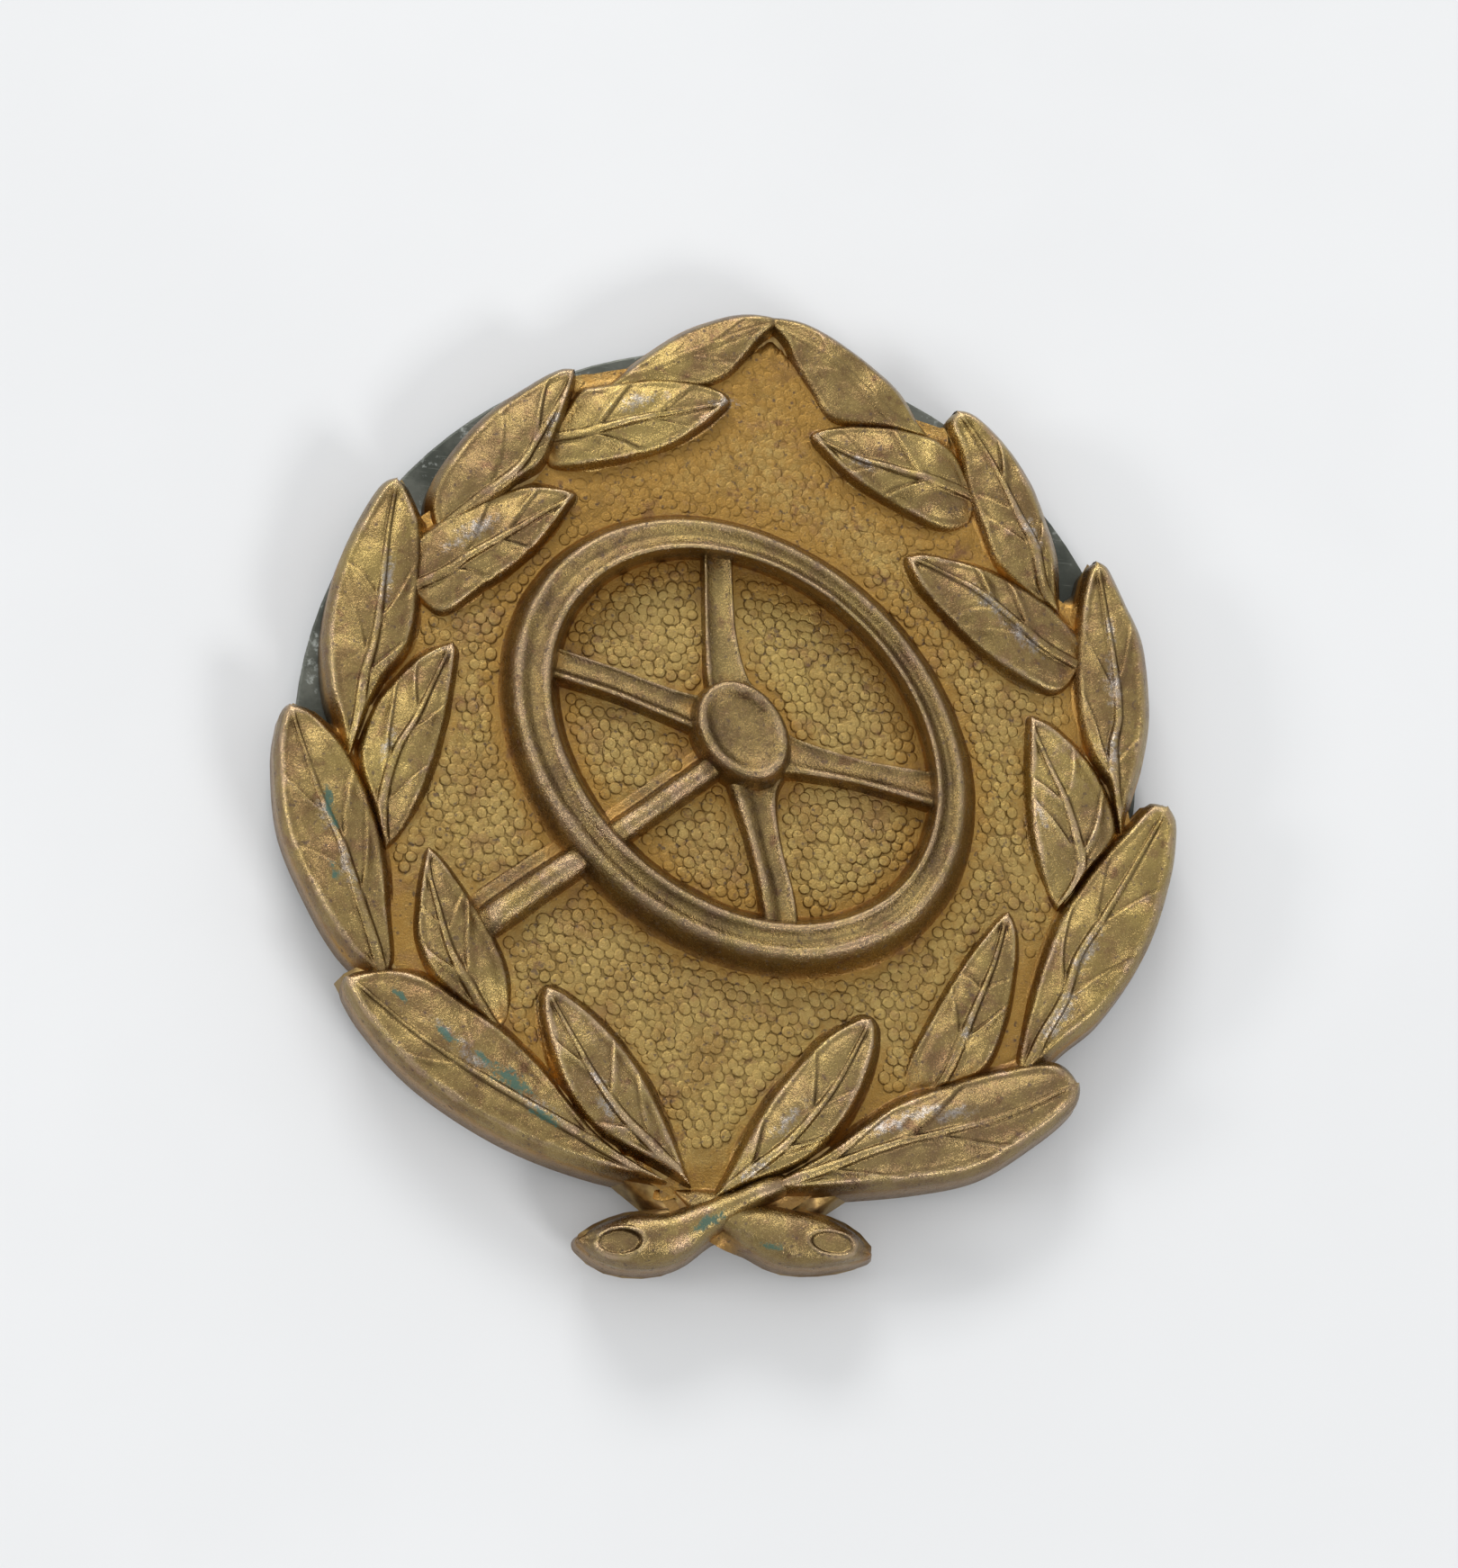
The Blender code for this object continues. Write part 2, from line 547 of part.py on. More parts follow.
def make_plate(material):
    """Round zinc plate with a rounded edge and four slots for the prongs."""
    bm = bmesh.new()
    bmesh.ops.create_cone(bm, cap_ends=True, segments=96, radius1=PLATE_RADIUS,
                          radius2=PLATE_RADIUS, depth=PLATE_THICK)
    bmesh.ops.translate(bm, vec=(*PLATE_CENTRE, PLATE_Z + PLATE_THICK / 2), verts=bm.verts)
    rims = [e for e in bm.edges if e.calc_face_angle(0.0) > 1.0]
    bmesh.ops.bevel(bm, geom=rims, offset=0.12, segments=2, affect="EDGES", profile=0.5)
    plate = add_object("back_plate", bm, material)
    for side, (x, y) in PRONG_PLACES.items():
        cutter = make_cutter("slot_" + side, (*SLOT_SIZE, 3.0), (x, y, PLATE_Z))
        cut = plate.modifiers.new("slot_" + side, "BOOLEAN")
        cut.object = cutter
        cut.solver = "EXACT"
    return plate


def extrude_profile(points, width):
    """A profile in X and Z, drawn out along Y to the given width about y = 0."""
    bm = bmesh.new()
    face = bm.faces.new([bm.verts.new((x, -width / 2, z)) for x, z in points])
    grown = bmesh.ops.extrude_face_region(bm, geom=[face])
    moved = [g for g in grown["geom"] if isinstance(g, bmesh.types.BMVert)]
    bmesh.ops.translate(bm, vec=(0, width, 0), verts=moved)
    bmesh.ops.recalc_face_normals(bm, faces=bm.faces)
    return bm


def arc(centre, radius, start, end, steps):
    spots = []
    for k in range(steps + 1):
        angle = math.radians(start + (end - start) * k / steps)
        spots.append((centre[0] + radius * math.cos(angle), centre[1] + radius * math.sin(angle)))
    return spots


def make_prong_base(side, x, y, material):
    """Foot against the shell, a rounded bend, and the shank that goes through the slot."""
    half = PRONG_THICK / 2
    foot_z = FIELD_Z - SHEET - 0.25 - 2 * GAP
    bend = 0.3
    profile = [(-half, PLATE_Z), (half, PLATE_Z)]
    profile += arc((-half - bend, foot_z - PRONG_THICK - bend), bend + PRONG_THICK, 0, 90, 5)
    profile += [(-PRONG_FOOT, foot_z), (-PRONG_FOOT, foot_z - PRONG_THICK)]
    profile += arc((-half - bend, foot_z - PRONG_THICK - bend), bend, 90, 0, 5)
    bm = extrude_profile(profile, PRONG_WIDTH)
    if x < 0:
        bmesh.ops.rotate(bm, matrix=Matrix.Rotation(math.pi, 3, "Z"), verts=bm.verts)
    bmesh.ops.translate(bm, vec=(x, y, 0), verts=bm.verts)
    return add_object("prong_base_" + side, bm, material)


def make_prong_leg(side, x, y, material):
    """The folded end, flat on the plate's rear, on an empty at the bend line."""
    half = PRONG_THICK / 2
    pivot = bpy.data.objects.new("bend_" + side, None)
    pivot.location = Vector((x, y, half)) * MM
    if x < 0:
        pivot.rotation_euler = (0, 0, math.pi)
    bpy.context.scene.collection.objects.link(pivot)
    profile = arc((0.0, 0.0), half, 270, 90, 6)
    profile += [(PRONG_LEG - 0.15, half), (PRONG_LEG, half - 0.15), (PRONG_LEG, 0.15 - half),
                (PRONG_LEG - 0.15, -half)]
    bm = extrude_profile(profile, PRONG_WIDTH)
    tips = [e for e in bm.edges if all(v.co.x > PRONG_LEG - 0.2 for v in e.verts)
            and abs(e.verts[0].co.y - e.verts[1].co.y) < 1e-6
            and abs(e.verts[0].co.x - e.verts[1].co.x) < 1e-6]
    bmesh.ops.bevel(bm, geom=tips, offset=0.6, segments=3, affect="EDGES", profile=0.5)
    return add_object("prong_leg_" + side, bm, material, pivot)


def make_solder(side, x, y, material):
    """A pad of soft solder between the prong's foot and the inside of the shell."""
    bm = bmesh.new()
    bmesh.ops.create_cone(bm, cap_ends=True, segments=28, radius1=1.55, radius2=1.8, depth=0.25)
    z = FIELD_Z - SHEET - GAP - 0.125
    toward = -1 if x > 0 else 1
    bmesh.ops.translate(bm, vec=(x + toward * PRONG_FOOT / 2, y, z), verts=bm.verts)
    return add_object("solder_" + side, bm, material)


def main():
    for obj in list(bpy.data.objects):
        bpy.data.objects.remove(obj, do_unlink=True)
    brass = metal("aged_brass", (0.34, 0.22, 0.07), 0.38, 1.0)
    zinc = metal("zinc", (0.13, 0.13, 0.12), 0.6, 0.7)
    strip = metal("prong_brass", (0.42, 0.29, 0.11), 0.42, 1.0)
    solder = metal("solder", (0.33, 0.33, 0.33), 0.5, 1.0)
    make_shell(brass)
    make_plate(zinc)
    for side, (x, y) in PRONG_PLACES.items():
        make_prong_base(side, x, y, strip)
        make_prong_leg(side, x, y, strip)
        make_solder(side, x, y, solder)


main()
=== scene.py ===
import math
import random

import bpy
import numpy as np
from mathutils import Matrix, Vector, geometry, noise


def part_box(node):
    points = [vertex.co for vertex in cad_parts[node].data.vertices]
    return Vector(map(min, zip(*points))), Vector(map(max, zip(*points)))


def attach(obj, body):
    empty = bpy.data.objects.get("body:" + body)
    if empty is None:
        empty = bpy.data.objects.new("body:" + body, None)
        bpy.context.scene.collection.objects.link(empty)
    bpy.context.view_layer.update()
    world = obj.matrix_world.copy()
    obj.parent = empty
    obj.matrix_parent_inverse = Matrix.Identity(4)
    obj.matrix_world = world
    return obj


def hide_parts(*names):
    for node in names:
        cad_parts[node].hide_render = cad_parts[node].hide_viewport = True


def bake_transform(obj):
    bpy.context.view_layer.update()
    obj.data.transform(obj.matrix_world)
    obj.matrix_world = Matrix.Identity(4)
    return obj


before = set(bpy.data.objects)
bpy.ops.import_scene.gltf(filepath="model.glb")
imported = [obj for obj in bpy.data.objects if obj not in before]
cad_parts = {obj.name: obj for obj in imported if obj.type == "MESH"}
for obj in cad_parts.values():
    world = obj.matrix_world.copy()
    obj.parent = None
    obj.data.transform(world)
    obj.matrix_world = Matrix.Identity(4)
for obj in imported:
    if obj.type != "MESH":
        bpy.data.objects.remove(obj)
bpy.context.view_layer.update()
bpy.ops.object.select_all(action="DESELECT")
mm = 0.001
reliefPieces = []   # everything struck into the front of the shell

leaves = {
    "leftOuter1": {
        "base": (-1, -19), "tip": (-17.1, -10.9), "lift": 0.15,
        "rib": [(-4, -17.9), (-8, -16.15), (-12.5, -13.9), (-15.2, -12.1)],
        "rimSide": [(-4.9, -18.6), (-9, -17.45), (-13, -15.35), (-15.7, -12.9)],
        "wheelSide": [(-4.7, -17), (-8, -13.7), (-11, -11.75), (-14, -10.4)]},
    "leftOuter2": {
        "base": (-15, -11.2), "tip": (-20.75, 1.55), "lift": 0.1,
        "rib": [(-15.6, -9.6), (-16.65, -7.3), (-17.55, -5.2), (-18.95, -2.6)],
        "rimSide": [(-17, -9.7), (-18.7, -7.4), (-20.3, -4.4), (-20.95, -1.2), (-20.93, 0.6)],
        "wheelSide": [(-14.55, -10), (-15.1, -7.4), (-15.65, -4.7), (-16.6, -2.3),
                      (-17.9, -0.3), (-19.4, 1.1)]},
    "leftOuter3": {
        "base": (-17.7, -1.2), "tip": (-16.8, 12.95), "lift": 0.05,
        "rib": [(-17.45, 1), (-17.4, 2.8), (-17.1, 4.8), (-17, 7.2), (-17, 9.8)],
        "rimSide": [(-18.4, 0.9), (-19, 2.5), (-19.35, 5), (-19.1, 7.7), (-18.5, 9.9),
                    (-17.6, 12)],
        "wheelSide": [(-17.1, 0.9), (-16.4, 2.9), (-15.4, 4.6), (-15.15, 7), (-15.35, 10.2),
                      (-16.1, 12)]},
    "leftOuter4": {
        "base": (-14.9, 10.2), "tip": (-9, 19.1), "lift": 0,
        "rib": [(-12.7, 12.3), (-11.3, 13.7), (-10.5, 15.3), (-9.7, 17.2)],
        "rimSide": [(-15.25, 12), (-14.6, 13.8), (-13, 16.2), (-11, 18), (-9.9, 18.8)],
        "wheelSide": [(-12.6, 11.6), (-11, 13.1), (-10.05, 14.1), (-9.5, 15.8), (-9.1, 17.9)]},
    "leftOuter5": {
        "base": (-8.3, 17.8), "tip": (0.7, 22.7), "lift": -0.3, "carving": 0.3,
        "rib": [(-5.7, 19.2), (-3.9, 20.3), (-2, 21.3)],
        "rimSide": [(-7.07, 19), (-5.9, 20.1), (-4.1, 21.6), (-2.2, 22.5), (-1, 22.75)],
        "wheelSide": [(-5.5, 18.4), (-3.3, 18.7), (-1.9, 19.4), (-1.05, 20.5), (-0.4, 21.5)]},
    "leftInner1": {
        "base": (-0.1, -19.2), "tip": (-7.9, -10.35), "lift": 0.2,
        "rib": [(-2.1, -17.55), (-3.85, -16.1), (-5.2, -14.5), (-6.4, -12.7)],
        "rimSide": [(-2.2, -18.2), (-4.6, -17.2), (-6.1, -15.8), (-7.15, -13.9),
                    (-7.9, -11.7)],
        "wheelSide": [(-1.07, -17.1), (-2.1, -15.3), (-3.3, -13.45), (-5.05, -11.75),
                      (-6.8, -10.65)]},
    "leftInner2": {
        "base": (-9.6, -12.9), "tip": (-13.75, -4.35), "lift": -0.1,
        "rib": [(-11.05, -11.1), (-12.2, -9.4), (-13, -7.4), (-13.5, -5.9)],
        "rimSide": [(-12.6, -11), (-13.85, -9.1), (-14.05, -7.1), (-13.95, -5.4)],
        "wheelSide": [(-9, -11.8), (-9.5, -9.65), (-10.5, -7.85), (-11.6, -6.45),
                      (-12.85, -5.05)]},
    "leftInner3": {
        "base": (-15.6, -5.2), "tip": (-13.4, 5.4), "lift": 0,
        "rib": [(-15.95, -2.8), (-15.55, -0.4), (-14.8, 1.3), (-14.2, 3.1)],
        "rimSide": [(-16.5, -3), (-17.3, -0.9), (-17.2, 0.8), (-16.6, 2.4), (-15.2, 4.2)],
        "wheelSide": [(-14.7, -4), (-13.9, -1.7), (-13.35, 0.9), (-13.15, 3.2), (-13.15, 4.7)]},
    "leftInner4": {
        "base": (-15.9, 7.4), "tip": (-8.3, 12.95), "lift": 0.1,
        "rib": [(-14.1, 8.4), (-12.95, 9.35), (-11.4, 10.5), (-9.8, 11.8)],
        "rimSide": [(-15.9, 9.6), (-15, 10.7), (-13.4, 11.9), (-11.3, 12.95), (-9.5, 13.2)],
        "wheelSide": [(-14.2, 6.3), (-12.4, 7.65), (-10.6, 9.25), (-9.4, 10.9)]},
    "leftInner5": {
        "base": (-10.2, 15.4), "tip": (-1.5, 18.25), "lift": 0,
        "rib": [(-8, 15.9), (-6, 16.7), (-4, 17.4)],
        "rimSide": [(-9, 17.9), (-7.9, 18.4), (-5.6, 19), (-3.3, 19.1), (-2.2, 18.85)],
        "wheelSide": [(-9.9, 14), (-7.3, 14.4), (-4.7, 15.4), (-2.9, 16.7)]},
    "rightOuter1": {
        "base": (1.5, -19.3), "tip": (17.2, -12.3), "lift": 0.15,
        "rib": [(4.8, -18), (8.3, -16.35), (11, -15.35), (13.7, -14.3)],
        "rimSide": [(6.3, -18.45), (9.9, -17.75), (12.8, -16.8), (15.2, -15), (16.7, -13.5)],
        "wheelSide": [(2.9, -18.5), (5.7, -16.6), (8.2, -14.4), (11.1, -12.9), (13.6, -11.95),
                      (15.8, -11.5)]},
    "rightOuter2": {
        "base": (14.4, -12.6), "tip": (20.35, 1.3), "lift": 0.1,
        "rib": [(15.1, -10.5), (15.95, -8.6), (16.45, -6.6), (17.5, -4.6), (18.6, -2.4)],
        "rimSide": [(16.2, -10.6), (17.85, -8.9), (19.6, -5.8), (20.5, -2.4), (20.65, 0)],
        "wheelSide": [(13.95, -11.6), (14.5, -8.1), (15.4, -4.8), (16.9, -2.1), (18.3, -0.2),
                      (19.4, 1.15)]},
    "rightOuter3": {
        "base": (18.2, -1), "tip": (16, 12.75), "lift": 0.05,
        "rib": [(17.65, 1.6), (17.4, 3.5), (17.55, 5), (17.25, 7.1), (16.85, 9), (16.45, 11)],
        "rimSide": [(18.45, 1), (18.85, 3.1), (19, 5.6), (18.5, 8.7), (17.6, 10.6),
                    (16.6, 12.3)],
        "wheelSide": [(17.4, 1.5), (16.4, 3), (15.7, 5), (15.35, 7.5), (15.35, 10),
                      (15.6, 11.9)]},
    "rightOuter4": {
        "base": (14.7, 9.6), "tip": (8.9, 19.25), "lift": 0,
        "rib": [(13.65, 11), (13, 12.8), (12.1, 14.3), (11.3, 15.7), (10.3, 17.4)],
        "rimSide": [(14.5, 10.8), (14.1, 12.8), (13, 15.4), (11.6, 17.5), (10, 18.9)],
        "wheelSide": [(12.9, 10.4), (11.3, 11.8), (10.4, 13.6), (9.6, 15.4), (9.2, 17),
                      (8.6, 18.4)]},
    "rightOuter5": {
        "base": (8.2, 17.6), "tip": (-0.7, 22.7), "lift": -0.3, "carving": 0.3,
        "rib": [(6, 18.3), (4.4, 19.6), (3.5, 20.4), (1.9, 21.4)],
        "rimSide": [(7.2, 18.6), (6.2, 19.8), (4.5, 21.15), (2.5, 22.25), (1, 22.75)],
        "wheelSide": [(5.5, 17.7), (3.1, 17.9), (2, 19.2), (1.1, 20.4), (0.5, 21.5)]},
    "rightInner1": {
        "base": (0.2, -19.9), "tip": (7.3, -10.15), "lift": 0.2,
        "rib": [(2.1, -18.25), (3.65, -16.8), (4.95, -15.1), (6, -13.3)],
        "rimSide": [(2.3, -18.8), (5, -17.25), (6.7, -14.9), (7.5, -12.5), (7.6, -11)],
        "wheelSide": [(1, -18.4), (1.8, -16.6), (3.2, -13.9), (5, -11.5), (6.5, -10.4)]},
    "rightInner2": {
        "base": (10.4, -13.5), "tip": (13.2, -4.4), "lift": -0.1,
        "rib": [(11.05, -12.1), (11.45, -10.8), (12, -9.1), (12.65, -7.1)],
        "rimSide": [(12.6, -12.4), (13.5, -10.3), (13.85, -8), (13.8, -5.8)],
        "wheelSide": [(8.75, -13.3), (9.75, -10.2), (11.1, -7.35), (12.4, -5.3)]},
    "rightInner3": {
        "base": (15.4, -4.6), "tip": (13.35, 4.9), "lift": 0.05,
        "rib": [(16.3, -2.6), (15.95, -0.9), (15.4, 0.6), (14.7, 1.9), (14, 3.3)],
        "rimSide": [(16.6, -2.7), (17.7, -1.2), (18, -0.2), (17.5, 1.4), (16.2, 3.2),
                    (14.8, 4.3)],
        "wheelSide": [(14.8, -3.7), (14, -1.5), (13.55, 0.8), (13.35, 3.2)]},
    "rightInner4": {
        "base": (15.9, 7.3), "tip": (6.85, 11.75), "lift": 0.1,
        "rib": [(13.9, 8), (12.9, 8.6), (11.8, 9.4), (10.6, 10.2), (9.3, 10.85)],
        "rimSide": [(15.9, 8.6), (14.6, 9.75), (12.5, 11), (10.2, 11.8), (8.2, 12)],
        "wheelSide": [(14.9, 5.9), (13.3, 6.1), (11, 7.3), (9.1, 8.85), (7.6, 10.35)]},
    "rightInner5": {
        "base": (10.3, 15), "tip": (2, 17.15), "lift": 0,
        "rib": [(8, 15.4), (6, 15.75), (4.4, 16.1)],
        "rimSide": [(9.4, 16.8), (8.5, 17.55), (6.5, 18), (4.5, 17.95), (3, 17.65)],
        "wheelSide": [(10.1, 13.6), (8.6, 13.15), (6.3, 13.95), (4.1, 15.1), (2.6, 16.4)]},
}

stems = {
    "stemOver": {
        "base": (-5.4, -21.8), "tip": (5.2, -17.9), "crown": 4.3,
        "rib": [(-3.2, -21.75), (-1.2, -21.2), (0.6, -20.2), (2.6, -19.1)],
        "rimSide": [(-4.4, -21.15), (-2.9, -20.5), (-1.4, -20.3), (-0.1, -19.7), (1.7, -18.8),
                    (3.4, -18)],
        "wheelSide": [(-4.3, -22.6), (-3, -22.9), (-1.5, -22.75), (-0.3, -22.2), (0.9, -21.1),
                      (2.4, -19.9), (4, -18.9)]},
    "stemUnder": {
        "base": (8.35, -21.1), "tip": (-1.2, -19.1), "crown": 4,
        "rib": [(6, -21.05), (3.5, -20.8), (1.6, -20.3), (0.1, -19.7)],
        "rimSide": [(7.5, -20.4), (6, -19.75), (4, -19.5), (2.2, -19.3), (0.6, -19)],
        "wheelSide": [(7.2, -21.6), (5.5, -22), (3.9, -22), (2.4, -21.4), (1.2, -20.8),
                      (-0.2, -20.1)]},
}


def ease(a, b, x):
    u = np.clip((x - a) / (b - a), 0, 1)
    return u * u * (3 - 2 * u)


def bump(x, width):
    return np.exp(-(x / width) ** 2)


def smoothLine(points, count):
    # a Catmull-Rom curve through the points, read at equal steps of its length
    p = np.array(points, float)
    p = np.vstack([2 * p[0] - p[1], p, 2 * p[-1] - p[-2]])
    u = np.linspace(0, 1, 13)[1:, None]
    fine = [p[1:2]]
    for a, b, c, d in zip(p, p[1:], p[2:], p[3:]):
        fine.append(0.5 * (2 * b + (c - a) * u + (2 * a - 5 * b + 4 * c - d) * u ** 2
                           + (3 * b - a - 3 * c + d) * u ** 3))
    fine = np.vstack(fine)
    along = np.r_[0, np.cumsum(np.linalg.norm(np.diff(fine, axis=0), axis=1))]
    at = np.linspace(0, along[-1], count + 1)
    return np.column_stack([np.interp(at, along, fine[:, k]) for k in range(p.shape[1])])


def setAttribute(piece, name, values):
    attribute = piece.data.attributes.get(name) or piece.data.attributes.new(
        name, "FLOAT", "POINT")
    attribute.data.foreach_set("value", np.asarray(values, np.float32).ravel())


def places(piece):
    co = np.empty(len(piece.data.vertices) * 3, np.float32)
    piece.data.vertices.foreach_get("co", co)
    return co.reshape(-1, 3).astype(float) / mm


def gridPiece(name, rows, groove=None, merge=False):
    # a grid whose rows and columns are laid over the given points
    n, m = rows.shape[:2]
    bpy.ops.object.select_all(action="DESELECT")
    bpy.ops.mesh.primitive_grid_add(x_subdivisions=m - 1, y_subdivisions=n - 1, size=1)
    piece = bpy.context.active_object
    piece.name = name
    piece.data.vertices.foreach_set("co", (rows.reshape(-1, 3) * mm).ravel())
    setAttribute(piece, "groove", np.zeros((n, m)) if groove is None else groove)
    if merge:
        bpy.ops.object.mode_set(mode="EDIT")
        bpy.ops.mesh.select_all(action="SELECT")
        bpy.ops.mesh.remove_doubles(threshold=0.002 * mm)
        bpy.ops.object.mode_set(mode="OBJECT")
    piece.data.update()
    bpy.ops.object.shade_smooth()
    return piece


def facingUp(rows, groove):
    # columns are turned round where they would give a grid that faces down
    n, m = rows.shape[:2]
    i, j = n // 2, m // 2
    right = rows[i, j + 1] - rows[i, j - 1]
    ahead = rows[i + 1, j] - rows[i - 1, j]
    if right[0] * ahead[1] - right[1] * ahead[0] < 0:
        return rows[:, ::-1], groove[:, ::-1]
    return rows, groove


def bladeLines(blade, steps, rounding):
    # both sides and the midrib, the ends rounded off, and the directions away from the rib
    rim, rib, wheelward = (smoothLine([blade["base"]] + blade[side] + [blade["tip"]], steps)
                           for side in ("rimSide", "rib", "wheelSide"))
    loop = np.vstack([rim, wheelward[-2:0:-1]])
    near = np.minimum(np.arange(2 * steps) % steps, -np.arange(2 * steps) % steps)
    soft = (1 - ease(0.5, 1.0, near / rounding))[:, None]
    for _ in range(rounding * 3):
        mean = (np.roll(loop, 1, 0) + np.roll(loop, -1, 0)) / 2
        loop = loop + 0.9 * soft * (mean - loop)
    ahead = np.roll(loop, -2, 0) - np.roll(loop, 2, 0)
    away = np.column_stack([-ahead[:, 1], ahead[:, 0]])
    away /= np.linalg.norm(away, axis=1)[:, None] + 1e-9
    middle = steps // 2
    if np.dot(away[middle], loop[middle] - rib[middle]) < 0:
        away = -away
    backward = np.r_[0, np.arange(2 * steps - 1, steps - 1, -1)]
    s = np.linspace(0, 1, steps + 1)[:, None]
    rib = rib + (loop[0] - rib[0]) * ease(0.12, 0, s) + (loop[steps] - rib[-1]) * ease(0.88, 1, s)
    return (loop[:steps + 1], rib, loop[backward], away[:steps + 1], away[backward])


# how far out and how far down a leaf's wall goes: on the field, and at the badge's edge
wall = {"fieldOut": (0.05, 0.11, 0.17, 0.26, 0.42, 0.66),
        "fieldDown": (0.16, 0.42, 0.68, 0.86, 0.97, 1.08),
        "edgeOut": (0.04, 0.07, 0.09, 0.11, 0.13, 0.16), "edgeGrow": 0.1,
        "edgeDown": (0.06, 0.24, 0.45, 0.66, 0.85, 1.0),
        "fieldHeight": 2.93, "seatHeight": 1.35}


def skirt(edge, away, deep):
    # columns of a wall from the leaf's edge down to the field, or where deep to the seat
    columns = []
    deep = deep[:, None]
    for k in range(len(wall["fieldOut"])):
        out = wall["fieldOut"][k] * (1 - deep) + wall["edgeOut"][k] * deep
        low = wall["fieldHeight"] * (1 - deep) + wall["seatHeight"] * deep
        down = wall["fieldDown"][k] * (1 - deep) + wall["edgeDown"][k] * deep
        z = edge[:, 2:] + (low - edge[:, 2:]) * down
        columns.append(np.hstack([edge[:, :2] + away * out, z]))
    return columns


def undulation(xy, seed, size, amount):
    flat = xy.reshape(-1, 2)
    values = [noise.noise(Vector((x / size, y / size, seed))) for x, y in flat]
    return amount * np.array(values).reshape(xy.shape[:-1])


def bladeGrid(rimSide, rib, wheelSide, across):
    # places from one edge over the midrib to the other, with t from -1 to 1
    t = np.linspace(-1, 1, 2 * across + 1)[None, :]
    side = np.where(t[..., None] < 0, rimSide[:, None], wheelSide[:, None])
    return t, side, rib[:, None] + (side - rib[:, None]) * abs(t)[..., None]


def strikeBlade(name, top, groove, leftWall, rightWall):
    # one leaf or stem: its top between its two walls
    rows = np.concatenate([np.stack(leftWall[::-1], 1), top, np.stack(rightWall, 1)], 1)
    pad = np.zeros((len(top), len(leftWall)))
    rows, groove = facingUp(rows, np.hstack([pad, groove, pad]))
    reliefPieces.append(gridPiece(name, rows, groove))


# sway and ripple: the size and the height of the long and the short unevenness
leafForm = {"steps": 130, "across": 28, "rounding": 7, "edgeHeight": 3.3, "crown": 0.78,
            "tuck": 0.7, "bead": 0.09, "shoulder": 0.26, "panelDepth": 0.08, "panelTilt": 0.12,
            "ribHalf": 0.22, "ribRise": 0.09, "veinRise": 0.05, "grooveDepth": 0.05,
            "tipCrease": 0.07, "sway": (1.9, 0.17), "ripple": (0.6, 0.035),
            "veins": {"rim": (0.3, 0.58), "wheel": (0.25, 0.5)}}


